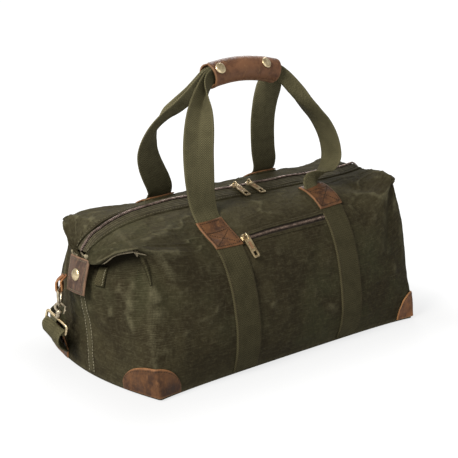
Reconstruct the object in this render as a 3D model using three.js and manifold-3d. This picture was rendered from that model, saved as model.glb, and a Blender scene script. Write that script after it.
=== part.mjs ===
// Weekender bag in canvas and leather.
// Millimetres. +X runs along the bag to its right end, -Y is the front, +Z is up.
// The origin is the middle of the resting face.
import * as THREE from "three";
import { mergeVertices } from "three/addons/utils/BufferGeometryUtils.js";
import Module from "manifold-3d";

const wasm = await Module();
wasm.setup();

// ---- driving dimensions -------------------------------------------------------------------------
const WEBBING_WIDTH = 38; // bands, handles and shoulder strap
const WEBBING_THICKNESS = 1.9;
const CANVAS = 2.4; // shell wall
const LINING = 1.2;
const GAP = 0.9; // between layers that lie on one another
const BAND_X = 89; // centre line of each webbing band
const BASE_THICKNESS = 2.4;
const SEAM_HALF_GAP = 0.3; // front and back panels meet at each end in a seam
const ZIP_HALF_OPENING = 11; // from the zip's centre line to a panel's edge
const PATCH_WIDTH = 41;
const PATCH_HEIGHT = 44;
const LEATHER = 1.9;
const GRIP_RADIUS = 15;
const GRIP_HALF_LENGTH = 54;
const GRIP_HEIGHT = 351; // axis height at the middle of the grip
const GRIP_ARCH = 6; // how much lower the grip's ends are
const WIRE = 3.6; // D-rings and strap rings

// Each panel is a skin through eight stations from its bottom edge to its zip edge. A station is a line
// round half of the bag, given at the middle of the long side, at the corner and at the middle of the end.
const FRONT_STATIONS = [
  { mid: [107, 3], corner: [218, 113, 3], end: [236, SEAM_HALF_GAP, 3] },
  { mid: [115, 30], corner: [220, 108, 30], end: [238, SEAM_HALF_GAP, 30] },
  { mid: [116, 60], corner: [219, 101, 60], end: [239, SEAM_HALF_GAP, 60] },
  { mid: [111, 92], corner: [217, 92, 100], end: [245, SEAM_HALF_GAP, 92] },
  { mid: [104, 122], corner: [213, 85, 144], end: [250, SEAM_HALF_GAP, 124] },
  { mid: [90, 150], corner: [217, 78, 182], end: [246, SEAM_HALF_GAP, 149] },
  { mid: [50, 184], corner: [215, 44, 187], end: [245, 5, 152] },
  { mid: [ZIP_HALF_OPENING, 198], corner: [212, 11, 184], end: [244, 11, 154] },
];
const BACK_STATIONS = [
  { mid: [107, 3], corner: [218, 113, 3], end: [236, SEAM_HALF_GAP, 3] },
  { mid: [115, 30], corner: [220, 109, 30], end: [238, SEAM_HALF_GAP, 30] },
  { mid: [116, 60], corner: [219, 104, 60], end: [239, SEAM_HALF_GAP, 60] },
  { mid: [115, 94], corner: [217, 97, 100], end: [245, SEAM_HALF_GAP, 92] },
  { mid: [111, 128], corner: [213, 90, 144], end: [250, SEAM_HALF_GAP, 124] },
  { mid: [97, 164], corner: [217, 81, 184], end: [246, SEAM_HALF_GAP, 149] },
  { mid: [55, 190], corner: [215, 46, 188], end: [245, 5, 152] },
  { mid: [ZIP_HALF_OPENING, 198], corner: [212, 11, 184], end: [244, 11, 154] },
];
const LONG_SIDE_POWER = 5; // how late the long side turns towards the corner
const END_POWER = 2;
const LONG_SIDE_SHARE = 0.64; // share of a half panel's run that lies on the long side

const BLACK_BROWN = 0x4a3426;
const TAN = 0x9a5f35;
const OLIVE = 0x4d4632;
const OLIVE_WEB = 0x6a6040;
const BRASS = 0xb08a52;
const STEEL = 0xb9b6ae;

const bag = new THREE.Group();
bag.name = "weekender_bag";

function add(name, geometry, color, metalness = 0) {
  const mesh = new THREE.Mesh(
    geometry,
    new THREE.MeshStandardMaterial({ name, color, metalness, roughness: metalness ? 0.35 : 0.85 }),
  );
  mesh.name = name;
  bag.add(mesh);
}

const mix = (a, b, t) => a + (b - a) * t;
const vec = (x, y, z) => new THREE.Vector3(x, y, z);

// ---- general shapes -----------------------------------------------------------------------------

// A closed slab: a box of cells whose three unit coordinates are mapped into space by place(a, b, c).
function slab(cellsA, cellsB, place, cellsC = 1) {
  const box = new THREE.BoxGeometry(1, 1, 1, cellsA, cellsB, cellsC);
  const position = box.attributes.position;
  for (let i = 0; i < position.count; i++) {
    const p = place(position.getX(i) + 0.5, position.getY(i) + 0.5, position.getZ(i) + 0.5);
    position.setXYZ(i, p.x, p.y, p.z);
  }
  return outwards(box);
}

// Turns a closed geometry's faces outwards if its mapping has mirrored it.
function outwards(geometry) {
  const solid = geometry.index ? geometry.toNonIndexed() : geometry;
  const p = solid.attributes.position;
  let volume = 0;
  const a = vec(0, 0, 0);
  const b = vec(0, 0, 0);
  const c = vec(0, 0, 0);
  for (let i = 0; i < p.count; i += 3) {
    a.fromBufferAttribute(p, i);
    b.fromBufferAttribute(p, i + 1);
    c.fromBufferAttribute(p, i + 2);
    volume += a.dot(b.cross(c));
  }
  const bare = new THREE.BufferGeometry().setAttribute("position", p.clone());
  if (volume < 0) {
    const q = bare.attributes.position;
    for (let i = 0; i < q.count; i += 3) {
      b.fromBufferAttribute(q, i + 1);
      c.fromBufferAttribute(q, i + 2);
      q.setXYZ(i + 1, c.x, c.y, c.z);
      q.setXYZ(i + 2, b.x, b.y, b.z);
    }
  }
  const merged = mergeVertices(bare, 1e-3);
  merged.computeVertexNormals();
  return merged;
}

function toManifold(geometry) {
  const g = outwards(geometry);
  return new wasm.Manifold(
    new wasm.Mesh({
      numProp: 3,
      vertProperties: new Float32Array(g.attributes.position.array),
      triVerts: new Uint32Array(g.index.array),
    }),
  );
}

function fromManifold(solid) {
  const mesh = solid.getMesh();
  const g = new THREE.BufferGeometry();
  g.setAttribute("position", new THREE.BufferAttribute(Float32Array.from(mesh.vertProperties), 3));
  g.setIndex(new THREE.BufferAttribute(Uint32Array.from(mesh.triVerts), 1));
  g.computeVertexNormals();
  return g;
}

const unite = (...parts) => fromManifold(parts.map(toManifold).reduce((a, b) => a.add(b)));
const cut = (body, tool) => fromManifold(toManifold(body).subtract(toManifold(tool)));

// A wire of round section along a closed outline drawn in the plane of two unit directions.
function closedWire(outline, centre, right, up, radius, turns = 32, sides = 6) {
  const torus = new THREE.TorusGeometry(2, 1, sides, turns);
  const position = torus.attributes.position;
  const normal = right.clone().cross(up);
  const at = (angle) => {
    const p = outline.getPointAt((angle / (2 * Math.PI) + 2) % 1);
    return centre.clone().addScaledVector(right, p.x).addScaledVector(up, p.y);
  };
  const step = 0.03;
  for (let i = 0; i < position.count; i++) {
    const x = position.getX(i);
    const y = position.getY(i);
    const turn = Math.round((Math.atan2(y, x) / (2 * Math.PI)) * turns);
    const angle = (2 * Math.PI * turn) / turns;
    const along = at(angle + step).sub(at(angle - step)).normalize();
    const outward = along.clone().cross(normal);
    const p = at(angle)
      .addScaledVector(outward, (Math.hypot(x, y) - 2) * radius)
      .addScaledVector(normal, position.getZ(i) * radius);
    position.setXYZ(i, p.x, p.y, p.z);
  }
  return outwards(torus);
}

// A strip of webbing or leather: across(t) is its width direction, width(t) and thickness(t) its section.
function ribbon(curve, across, width, thickness, cells = 24, cellsAcross = 1) {
  return slab(cells, cellsAcross, (t, w, h) => {
    const along = curve.getTangent(t);
    const side = across(t).clone();
    side.addScaledVector(along, -side.dot(along)).normalize();
    const up = along.cross(side);
    return curve
      .getPoint(t)
      .addScaledVector(side, (w - 0.5) * width(t))
      .addScaledVector(up, (h - 0.5) * thickness(t));
  });
}

// ---- the bag's skin -----------------------------------------------------------------------------

const STATIONS = { front: FRONT_STATIONS, back: BACK_STATIONS };
const SIGN = { front: -1, back: 1 };

// Point of a station on the long side at distance x from the middle.
function longSidePoint(station, x) {
  const [cornerX, cornerY, cornerZ] = station.corner;
  const turn = Math.pow(Math.min(Math.abs(x) / cornerX, 1.05), LONG_SIDE_POWER);
  return vec(x, mix(station.mid[0], cornerY, turn), mix(station.mid[1], cornerZ, turn));
}

// Point of a station on the end, at share q of the way from the corner to the middle of the end.
function endPoint(station, q) {
  const [cornerX, cornerY, cornerZ] = station.corner;
  const [endX, endY, endZ] = station.end;
  return vec(
    mix(endX, cornerX, Math.pow(1 - q, END_POWER)),
    mix(cornerY, endY, q),
    mix(cornerZ, endZ, 1 - Math.pow(1 - q, 1.2)),
  );
}

function column(side, pointOf) {
  const points = STATIONS[side].map((station) => {
    const p = pointOf(station);
    p.y *= SIGN[side];
    return p;
  });
  return new THREE.CatmullRomCurve3(points, false, "centripetal");
}

// Skin point at run f (-1 at the left end's middle, 1 at the right end's) and climb v (0 to 1).
function skinColumn(side, f) {
  const run = Math.abs(f);
  const sign = f < 0 ? -1 : 1;
  return column(side, (station) => {
    const p =
      run <= LONG_SIDE_SHARE
        ? longSidePoint(station, (run / LONG_SIDE_SHARE) * station.corner[0])
        : endPoint(station, (run - LONG_SIDE_SHARE) / (1 - LONG_SIDE_SHARE));
    p.x *= sign;
    return p;
  });
}

// The outward normal of a surface point(a, b), taken from its neighbours.
function outwardNormal(point, a, b, outwardHint) {
  const step = 2e-3;
  const da = point(Math.min(a + step, 1)).sub(point(Math.max(a - step, -1)));
  const normal = da.cross(b);
  normal.normalize();
  return normal.dot(outwardHint) < 0 ? normal.negate() : normal;
}

function skinPoint(side, f, v, lift) {
  const point = (run) => skinColumn(side, run).getPoint(v);
  const here = point(f);
  const climb = skinColumn(side, f).getTangent(Math.min(Math.max(v, 0.002), 0.998));
  const hint = vec(here.x * 0.4, here.y * 2, here.z - 60);
  here.addScaledVector(outwardNormal(point, f, climb, hint), lift);
  here.y = SIGN[side] * Math.max(SIGN[side] * here.y, SEAM_HALF_GAP); // stays on its side of the seam
  return here;
}

// Point over the long side at a fixed distance x from the middle, lifted off the skin.
function wallPoint(side, x, v, lift) {
  const at = (xx) => column(side, (station) => longSidePoint(station, xx));
  const line = at(x);
  const here = line.getPoint(v);
  const climb = line.getTangent(Math.min(Math.max(v, 0.002), 0.998));
  const along = at(x + 1).getPoint(v).sub(at(x - 1).getPoint(v));
  const normal = along.cross(climb).normalize();
  if (normal.y * SIGN[side] < 0 || (Math.abs(normal.y) < 0.1 && normal.z < 0)) normal.negate();
  return here.addScaledVector(normal, lift);
}

// Climb at which the long side at x reaches a height.
function climbAt(side, x, height) {
  const line = column(side, (station) => longSidePoint(station, x));
  let low = 0;
  let high = 1;
  for (let i = 0; i < 30; i++) {
    const middle = (low + high) / 2;
    if (line.getPoint(middle).z < height) low = middle;
    else high = middle;
  }
  return (low + high) / 2;
}

const panelGrid = (side) =>
  slab(30, 14, (a, b, c) => skinPoint(side, mix(-1, 1, a), b, -CANVAS * (1 - c)));

// ---- shell --------------------------------------------------------------------------------------

const POCKET_ZIP_HALF = 62; // half length of the pocket's slot
const POCKET_HEIGHT = 163;
const POCKET_SLOT_HALF = 5;

function addShell() {
  const slot = slab(12, 1, (a, b, c) => {
    const x = mix(-POCKET_ZIP_HALF, POCKET_ZIP_HALF, a);
    const low = climbAt("front", x, POCKET_HEIGHT - POCKET_SLOT_HALF);
    const high = climbAt("front", x, POCKET_HEIGHT + POCKET_SLOT_HALF);
    return wallPoint("front", x, mix(low, high, b), mix(-14, 8, c));
  });
  add("front_panel", cut(panelGrid("front"), slot), OLIVE);
  add("back_panel", panelGrid("back"), OLIVE);
  add("lining", cut(liningTub(), slot), 0x8d8265);

  const outline = new THREE.Shape();
  const points = [];
  const steps = 40;
  for (const side of ["front", "back"]) {
    for (let i = 0; i < steps; i++) {
      const f = mix(-1, 1, i / steps) * SIGN[side] * -1;
      const p = skinColumn(side, f).getPoint(0);
      points.push(new THREE.Vector2(p.x, p.y));
    }
  }
  outline.setFromPoints(points);
  const base = new THREE.ExtrudeGeometry(outline, { depth: BASE_THICKNESS, bevelEnabled: false });
  add("base_panel", outwards(base), OLIVE);

  const board = new THREE.ExtrudeGeometry(
    roundedRectangle(400, 186, 14),
    { depth: 3, bevelEnabled: false, curveSegments: 4 },
  );
  board.translate(0, 0, 9.5);
  add("base_board", outwards(board), BLACK_BROWN);
}

function roundedRectangle(width, height, radius) {
  const shape = new THREE.Shape();
  const x = width / 2;
  const y = height / 2;
  shape.moveTo(-x + radius, -y);
  shape.lineTo(x - radius, -y);
  shape.absarc(x - radius, -y + radius, radius, -Math.PI / 2, 0);
  shape.lineTo(x, y - radius);
  shape.absarc(x - radius, y - radius, radius, 0, Math.PI / 2);
  shape.lineTo(-x + radius, y);
  shape.absarc(-x + radius, y - radius, radius, Math.PI / 2, Math.PI);
  shape.lineTo(-x, -y + radius);
  shape.absarc(-x + radius, -y + radius, radius, Math.PI, 1.5 * Math.PI);
  return shape;
}

// The lining is a tub: a lathe whose rings are stretched out to the shell's stations.
function liningTub() {
  const wall = [0.03, 0.16, 0.32, 0.48, 0.62, 0.76, 0.9];
  const rings = [{ r: 0, layer: 0 }, { r: 0.6, layer: 0 }];
  wall.forEach((v) => rings.push({ r: 1, v, layer: 0 }));
  [...wall].reverse().forEach((v) => rings.push({ r: 1, v, layer: 1 }));
  rings.push({ r: 0.6, layer: 1 }, { r: 0, layer: 1 });
  const profile = rings.map((ring, i) => new THREE.Vector2(ring.r, i));
  const turns = 48;
  const lathe = new THREE.LatheGeometry(profile, turns);
  const position = lathe.attributes.position;
  for (let i = 0; i < position.count; i++) {
    const ring = rings[Math.round(position.getY(i))];
    const angle = Math.atan2(position.getX(i), position.getZ(i));
    const p = liningPoint(angle, ring);
    position.setXYZ(i, p.x, p.y, p.z);
  }
  return outwards(lathe);
}

function liningPoint(angle, ring) {
  const floor = 4.4 + ring.layer * LINING;
  if (ring.r === 0) return vec(0, 0, floor);
  const side = Math.abs(angle) <= Math.PI / 2 ? "back" : "front";
  const quarter = Math.abs(angle) <= Math.PI / 2 ? angle : Math.sign(angle) * (Math.PI - Math.abs(angle));
  const f = (quarter / (Math.PI / 2)) * 0.985;
  const v = ring.v === undefined ? 0 : ring.v;
  const p = skinColumn(side, f).getPoint(v);
  const inset = 5.6 + ring.layer * LINING * 1.5;
  const drop = Math.max(0, (v - 0.5) / 0.5) * 9 + ring.layer * LINING;
  p.x *= 1 - inset / 215;
  p.y *= 1 - inset / 100;
  p.z -= v > 0.5 ? drop : 0;
  if (ring.r < 1) {
    p.x *= ring.r;
    p.y *= ring.r;
    p.z = floor;
  }
  if (v < 0.05) p.z = floor + 2;
  return p;
}

// ---- pieces sewn on the shell -------------------------------------------------------------------

// Strip over the long side, between two heights, centred on x.
function sewnStrip(side, x, width, lowClimb, highClimb, lift, thickness, cells) {
  return slab(4, cells, (a, b, c) =>
    wallPoint(side, x + (a - 0.5) * width, mix(lowClimb, highClimb, b), lift + thickness * c),
  );
}

const ROOT_HEIGHT = { front: 187, back: 190 }; // where each handle leaves the bag
const PATCH_LOW = { front: 153, back: 166 };

function addBandsAndPatches() {
  for (const side of ["front", "back"]) {
    for (const [hand, sign] of [["left", -1], ["right", 1]]) {
      const x = sign * BAND_X;
      const low = climbAt(side, x, 4);
      const high = climbAt(side, x, ROOT_HEIGHT[side]);
      const patchLow = climbAt(side, x, PATCH_LOW[side]);
      add(
        `webbing_band_${side}_${hand}`,
        sewnStrip(side, x, WEBBING_WIDTH, low, high, GAP, WEBBING_THICKNESS, 22),
        OLIVE_WEB,
      );
      add(
        `handle_patch_${side}_${hand}`,
        sewnStrip(side, x, PATCH_WIDTH, patchLow, high - 0.004, 3.4, LEATHER, 6),
        TAN,
      );
    }
  }
}

// Leather patch round a bottom corner, highest on the corner's edge and lowest at its two sides.
function cornerPatch(side, hand) {
  const sign = hand === "left" ? -1 : 1;
  const frontReach = 30;
  const endReach = 56;
  return slab(12, 4, (a, b, c) => {
    const w = mix(-1, 1, a);
    const run =
      w > 0
        ? LONG_SIDE_SHARE * (1 - (w * frontReach) / 218)
        : LONG_SIDE_SHARE + (1 - LONG_SIDE_SHARE) * ((-w * endReach) / 113);
    const top = 0.2 * Math.sqrt(1 - 0.92 * w * w);
    return skinPoint(side, sign * run, mix(0.003, top, b), GAP + LEATHER * c);
  });
}

function addCornerPatches() {
  for (const side of ["front", "back"]) {
    for (const hand of ["left", "right"]) {
      add(`corner_patch_${side}_${hand}`, cornerPatch(side, hand), TAN);
    }
  }
}

// ---- main zip -----------------------------------------------------------------------------------

// Point over the ridge: f runs from end to end, y across, lift is off the ridge line.
function ridgePoint(f, y, lift) {
  const at = (run) => skinColumn("front", run).getPoint(1).setY(0);
  const along = at(Math.min(f + 0.01, 1)).sub(at(Math.max(f - 0.01, -1)));
  const up = vec(-along.z, 0, along.x).normalize();
  return at(f).setY(y).addScaledVector(up, lift);
}

function ridgeStrip(reach, y0, y1, lift, thickness, cells = 36) {
  return slab(cells, 1, (a, b, c) => {
    const f = mix(-reach, reach, a);
    return ridgePoint(f, mix(y0, y1, b), lift + thickness * c);
  });
}

const PULL_WIDTH = 10;
const SLIDER_X = 12; // each slider's distance from the middle when the bag is shut

function ridgeHeight(x) {
  return longSidePoint(FRONT_STATIONS[7], x).z;
}

const SLIDER_THICKNESS = 2.6;
const PIVOT_RISE = 5; // from a slider's underside to the pull's pivot line
const BAIL_INNER = 2.6;
const BAIL_OUTER = 4.2;

// Slider body with an arched bail over the pull's end bar; the pivot line runs along X.
function sliderBody() {
  const body = roundedRectangle(11, 11, 3);
  const block = new THREE.ExtrudeGeometry(body, {
    depth: SLIDER_THICKNESS,
    bevelEnabled: false,
    curveSegments: 3,
  });
  const foot = SLIDER_THICKNESS - PIVOT_RISE - 0.5;
  const arch = new THREE.Shape();
  arch.moveTo(BAIL_OUTER, foot);
  arch.lineTo(BAIL_OUTER, 0);
  arch.absarc(0, 0, BAIL_OUTER, 0, Math.PI, false);
  arch.lineTo(-BAIL_OUTER, foot);
  arch.lineTo(-BAIL_INNER, foot);
  arch.lineTo(-BAIL_INNER, 0);
  arch.absarc(0, 0, BAIL_INNER, Math.PI, 0, true);
  arch.lineTo(BAIL_INNER, foot);
  const bail = new THREE.ExtrudeGeometry(arch, { depth: 2.2, bevelEnabled: false, curveSegments: 6 });
  bail.translate(0, 0, -1.1);
  bail.applyMatrix4(new THREE.Matrix4().makeBasis(vec(0, 1, 0), vec(0, 0, 1), vec(1, 0, 0)));
  bail.translate(0, 0, PIVOT_RISE);
  return unite(block, bail);
}

// Long pull: an end bar on the pivot line, a window for the bail and a slot at the tip; lies to -Y.
function pull(length) {
  const plate = roundedRectangle(PULL_WIDTH, length, 2);
  const top = length / 2;
  const window = rectanglePath(0, top - 4.7, 4.4, 5);
  const tip = rectanglePath(0, -top + 5.2, 5.6, 4.6);
  plate.holes.push(window, tip);
  const body = new THREE.ExtrudeGeometry(plate, { depth: 2, bevelEnabled: false, curveSegments: 3 });
  body.translate(0, 1.1 - top, -1);
  return body;
}

function rectanglePath(x, y, width, height) {
  const path = new THREE.Path();
  path.moveTo(x - width / 2, y - height / 2);
  path.lineTo(x + width / 2, y - height / 2);
  path.lineTo(x + width / 2, y + height / 2);
  path.lineTo(x - width / 2, y + height / 2);
  return path;
}

const PULL_LENGTH = 27;
const POCKET_PULL_LENGTH = 33;
const PULL_SLOPE = THREE.MathUtils.degToRad(11);

function addMainZip() {
  add("main_zip_tape_front", ridgeStrip(0.985, -14, -3.9, -5, 1), OLIVE_WEB);
  add("main_zip_tape_back", ridgeStrip(0.985, 3.9, 14, -5, 1), OLIVE_WEB);
  add("main_zip_chain", ridgeStrip(0.985, -3.2, 3.2, -4, 3.2), 0x8a6a52, 0.6);
  add("front_zip_facing", ridgeStrip(0.66, -20, -10, -7, 1), OLIVE);
  add("back_zip_facing", ridgeStrip(0.66, 10, 20, -7, 1), OLIVE);
  for (const [hand, sign] of [["left", -1], ["right", 1]]) {
    const x = sign * SLIDER_X;
    const height = ridgeHeight(0) - 0.4;
    const slider = sliderBody();
    slider.translate(x, 0, height);
    add(`main_slider_${hand}`, slider, BRASS, 1);
    const geometry = pull(PULL_LENGTH);
    geometry.rotateX(PULL_SLOPE);
    geometry.translate(x, 0, height + PIVOT_RISE);
    add(`main_pull_${hand}`, outwards(geometry), BRASS, 1);
  }
}

// ---- pocket -------------------------------------------------------------------------------------

function addPocket() {
  const rise = (x, halfHeight, lift, thickness) => (b, c) => {
    const low = climbAt("front", x, POCKET_HEIGHT - halfHeight);
    const high = climbAt("front", x, POCKET_HEIGHT + halfHeight);
    return wallPoint("front", x, mix(low, high, b), lift + thickness * c);
  };
  const strip = (half, halfHeight, lift, thickness) =>
    slab(12, 1, (a, b, c) => rise(mix(-half, half, a), halfHeight, lift, thickness)(b, c));
  add("pocket_zip_tape", strip(POCKET_ZIP_HALF - 1, POCKET_SLOT_HALF - 1, -4.2, 1), OLIVE_WEB);
  add("pocket_zip_chain", strip(POCKET_ZIP_HALF - 2, 2.1, -2.8, 2.2), 0x8a6a52, 0.6);

  const pouch = new THREE.BoxGeometry(150, 12, 80);
  const hollow = new THREE.BoxGeometry(147, 9.4, 80);
  hollow.translate(0, 0, 1.4);
  const pocketBag = cut(pouch, hollow);
  pocketBag.translate(0, -77, 101);
  add("pocket_bag", pocketBag, 0x8d8265);

  const x = -POCKET_ZIP_HALF + 4;
  const climb = climbAt("front", x, POCKET_HEIGHT);
  const seat = wallPoint("front", x, climb, 0.4);
  const out = wallPoint("front", x, climb, 1.4).sub(seat).normalize();
  const frameOf = (geometry) => {
    const basis = new THREE.Matrix4().makeBasis(
      vec(1, 0, 0),
      out.clone().cross(vec(1, 0, 0)),
      out,
    );
    return geometry.applyMatrix4(basis).translate(seat.x, seat.y, seat.z);
  };
  add("pocket_slider", frameOf(sliderBody()), BRASS, 1);
  const hanging = pull(POCKET_PULL_LENGTH);
  hanging.rotateX(THREE.MathUtils.degToRad(4));
  hanging.translate(0, 0, PIVOT_RISE);
  add("pocket_pull", outwards(frameOf(hanging)), BRASS, 1);
}

// ---- ends: tab, stud, loop, D-ring, hook and ring ---------------------------------------------------

// Outermost x of the end's middle line at a height.
function endX(height) {
  const line = skinColumn("front", 1);
  let low = 0;
  let high = 0.78;
  for (let i = 0; i < 30; i++) {
    const middle = (low + high) / 2;
    if (line.getPoint(middle).z < height) low = middle;
    else high = middle;
  }
  return line.getPoint(low).x;
}

const TAB_LOW = 107;
const TAB_HIGH = 148;
const STUD_HEIGHT = 129;

function addEndTab(hand, sign) {
  const plate = slab(6, 6, (a, b, c) => {
    const y = mix(-19, 19, a);
    const z = mix(TAB_LOW, TAB_HIGH, b);
    return vec(sign * (endX(z) + 1.1 + 2.6 * c - 0.0032 * y * y), y, z);
  });
  add(`zip_end_tab_${hand}`, plate, BLACK_BROWN);
  const profile = [[0, 0], [7, 0], [6.6, 1.3], [4, 2.4], [0, 2.8]];
  const stud = new THREE.LatheGeometry(profile.map(([r, h]) => new THREE.Vector2(r, h)), 20);
  stud.rotateZ(-Math.PI / 2);
  stud.scale(sign, 1, 1);
  stud.translate(sign * (endX(STUD_HEIGHT) + 4.2), 0, STUD_HEIGHT);
  add(`zip_end_stud_${hand}`, outwards(stud), BRASS, 1);
}

// The D-ring's bar direction, level, and the line that the hook hangs along, both for the left end.
const BAR = vec(0.63, 0.777, 0).normalize();
const D_CENTRE = vec(-258.5, 30, 104);
const HOOK_LINE = vec(0.02, 0.5, -0.866).normalize();

const mirrored = (geometry, sign) => (sign > 0 ? geometry.scale(-1, 1, 1) : geometry);

const D_HALF_WIDTH = 15;
const D_DEPTH = 21;

// Half-round outline: a straight bar above, a bow below.
function dOutline() {
  const path = new THREE.Path();
  path.moveTo(D_HALF_WIDTH - 3, 3);
  path.quadraticCurveTo(D_HALF_WIDTH, 3, D_HALF_WIDTH, 0);
  path.lineTo(D_HALF_WIDTH, D_HALF_WIDTH - D_DEPTH);
  path.absarc(0, D_HALF_WIDTH - D_DEPTH, D_HALF_WIDTH, 0, Math.PI, true);
  path.lineTo(-D_HALF_WIDTH, 0);
  path.quadraticCurveTo(-D_HALF_WIDTH, 3, 3 - D_HALF_WIDTH, 3);
  path.lineTo(D_HALF_WIDTH - 3, 3);
  return path;
}

function addEndRings(hand, sign) {
  const ring = closedWire(dOutline(), D_CENTRE, BAR, vec(0, 0, 1), WIRE / 2, 30);
  add(`d_ring_${hand}`, outwards(mirrored(ring, sign)), STEEL, 1);

  // Leather loop: an eye round the ring's bar, and a tail sewn to the end wall.
  const eye = new THREE.Shape();
  eye.absarc(0, 0, 4.8, 0, 2 * Math.PI);
  const bore = new THREE.Path();
  bore.absarc(0, 0, 2.7, 0, 2 * Math.PI);
  eye.holes.push(bore);
  const roll = new THREE.ExtrudeGeometry(eye, { depth: 13, bevelEnabled: false, curveSegments: 8 });
  roll.translate(0, 0, -6.5);
  const basis = new THREE.Matrix4().makeBasis(vec(0, 0, 1), BAR.clone().cross(vec(0, 0, 1)), BAR);
  roll.applyMatrix4(basis);
  roll.translate(D_CENTRE.x, D_CENTRE.y, D_CENTRE.z + 2.6);
  const tail = new THREE.BoxGeometry(9, 13, 13);
  tail.translate(D_CENTRE.x + 6, D_CENTRE.y - 1, D_CENTRE.z + 12);
  const loop = unite(roll, tail);
  add(`d_ring_loop_${hand}`, outwards(mirrored(loop, sign)), TAN);

  addHook(hand, sign);
}

function addHook(hand, sign) {
  // The hook's plane holds the hook line and crosses the ring's wire.
  const across = HOOK_LINE.clone().cross(BAR).normalize();
  const out = across.clone().cross(HOOK_LINE).normalize();
  const basis = new THREE.Matrix4().makeBasis(across, HOOK_LINE.clone().negate(), out);
  const seat = D_CENTRE.clone().add(vec(0, 0, -D_DEPTH));
  const place = (geometry) => {
    geometry.applyMatrix4(basis);
    geometry.translate(seat.x, seat.y, seat.z);
    return outwards(mirrored(geometry, sign));
  };
  const claw = new THREE.Shape();
  claw.absarc(0, 0, 7.8, 0.15, Math.PI, false);
  claw.lineTo(-7.8, -11);
  claw.lineTo(7.8, -11);
  claw.lineTo(7.8, -8.4);
  claw.lineTo(-4.4, -8.4);
  claw.lineTo(-4.4, 0);
  claw.absarc(0, 0, 4.4, Math.PI, 0.15, true);
  const body = new THREE.ExtrudeGeometry(claw, { depth: 3.6, bevelEnabled: false, curveSegments: 8 });
  body.translate(0, -1.2, -1.8);
  const barrel = new THREE.CylinderGeometry(3.2, 3.2, 7, 14);
  barrel.translate(0, -15, 0);
  const hook = unite(body, barrel);
  add(`snap_hook_${hand}`, place(hook), STEEL, 1);

  const gate = new THREE.BoxGeometry(2.4, 7.6, 3);
  gate.translate(6.1, -4.9, 0);
  add(`hook_gate_${hand}`, place(gate), STEEL, 1);

  // Rectangular ring: its bar carries the strap, its top is held by the hook's swivel.
  const wire = closedWire(roundedPath(20.8, 6.4, 3), RING_CENTRE, RING_BAR, RING_UP, 1.75, 32);
  add(`strap_ring_${hand}`, outwards(mirrored(wire, sign)), STEEL, 1);
}

// Closed rounded rectangle with the given half sizes.
function roundedPath(halfWidth, halfHeight, radius) {
  const path = new THREE.Path(roundedRectangle(2 * halfWidth, 2 * halfHeight, radius).getPoints(6));
  return path;
}

const RING_BAR = vec(-0.09, 0.94, 0.33).normalize();
const RING_UP = vec(0.05, -0.33, 0.94).normalize();
const RING_CENTRE = vec(-258, 42.5, 54);

function addSideTab() {
  const plate = slab(4, 6, (a, b, c) => {
    const y = mix(-44, -27, a);
    const z = mix(114, 142, b);
    const q = 1 + y / 85;
    return vec(-(mix(250, 213, Math.pow(1 - q, 2)) + 1.2 + 1.2 * c), y, z);
  });
  add("side_tab", plate, OLIVE_WEB);
}

// ---- handles ------------------------------------------------------------------------------------

const FOLDED_WIDTH = 16; // the webbing is folded lengthwise inside the grip
const FOLDED_THICKNESS = 5;
const LEG_LINES = {
  front_left: [[-91, -43, 208], [-96, -36, 235], [-95, -29, 265], [-86, -21, 302], [-72, -11, 333]],
  front_right: [[93, -43, 209], [113, -36, 234], [117, -30, 260], [97, -22, 297], [73, -11, 333]],
  back_left: [[-91, 56, 214], [-106, 48, 238], [-116, 37, 266], [-99, 24, 302], [-72, 12, 333]],
  back_right: [[90, 56, 213], [82, 49, 240], [75, 38, 268], [73, 26, 300], [71, 12, 332]],
};
const GRIP_SLOT = 3.9; // each webbing's distance from the grip's centre plane

const SLOT_DEPTH = 7.5; // room for the folded webbing in each half of the grip
const SLOT_HALF_HEIGHT = 10;
const GRIP_X = -1; // the grip's middle
const SPLIT_LEAN = THREE.MathUtils.degToRad(25); // the wrap's two halves meet in a plane that leans back

const gripZ = (x) => GRIP_HEIGHT - 1 - GRIP_ARCH * Math.pow((x - GRIP_X) / GRIP_HALF_LENGTH, 2);

function handleCurve(side) {
  const y = SIGN[side] * GRIP_SLOT * Math.cos(SPLIT_LEAN);
  const rise = -SIGN[side] * GRIP_SLOT * Math.sin(SPLIT_LEAN);
  const root = (sign) => rootPoint(side, sign);
  const left = LEG_LINES[`${side}_left`].map((p) => vec(...p));
  const right = LEG_LINES[`${side}_right`].map((p) => vec(...p)).reverse();
  const grip = [-60, -30, 0, 30, 60].map((x) => vec(x + GRIP_X, y, gripZ(x + GRIP_X) + rise));
  return new THREE.CatmullRomCurve3([root(-1), ...left, ...grip, ...right, root(1)], false, "centripetal");
}

// The handle starts just past the end of its band, in line with it.
function rootPoint(side, sign) {
  const x = sign * BAND_X;
  const climb = climbAt(side, x, ROOT_HEIGHT[side]);
  const top = wallPoint(side, x, climb, 3.4);
  return top.add(vec(0, -SIGN[side] * 2, 5.4));
}

function addHandle(side) {
  const curve = handleCurve(side);
  const fromEnd = (t) => 0.5 - Math.abs(t - 0.5);
  const inGrip = (t) => THREE.MathUtils.smoothstep(fromEnd(t), 0.27, 0.35);
  const splitLine = vec(0, Math.sin(SPLIT_LEAN), Math.cos(SPLIT_LEAN));
  const across = (t) =>
    vec(1, 0, 0)
      .multiplyScalar(1 - inGrip(t))
      .addScaledVector(splitLine, t < 0.5 ? inGrip(t) : -inGrip(t));
  const strip = ribbon(
    curve,
    across,
    (t) => mix(WEBBING_WIDTH, FOLDED_WIDTH, inGrip(t)),
    (t) => mix(WEBBING_THICKNESS, FOLDED_THICKNESS, inGrip(t)),
    60,
  );
  add(`${side}_handle`, strip, OLIVE_WEB);
}

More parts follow.
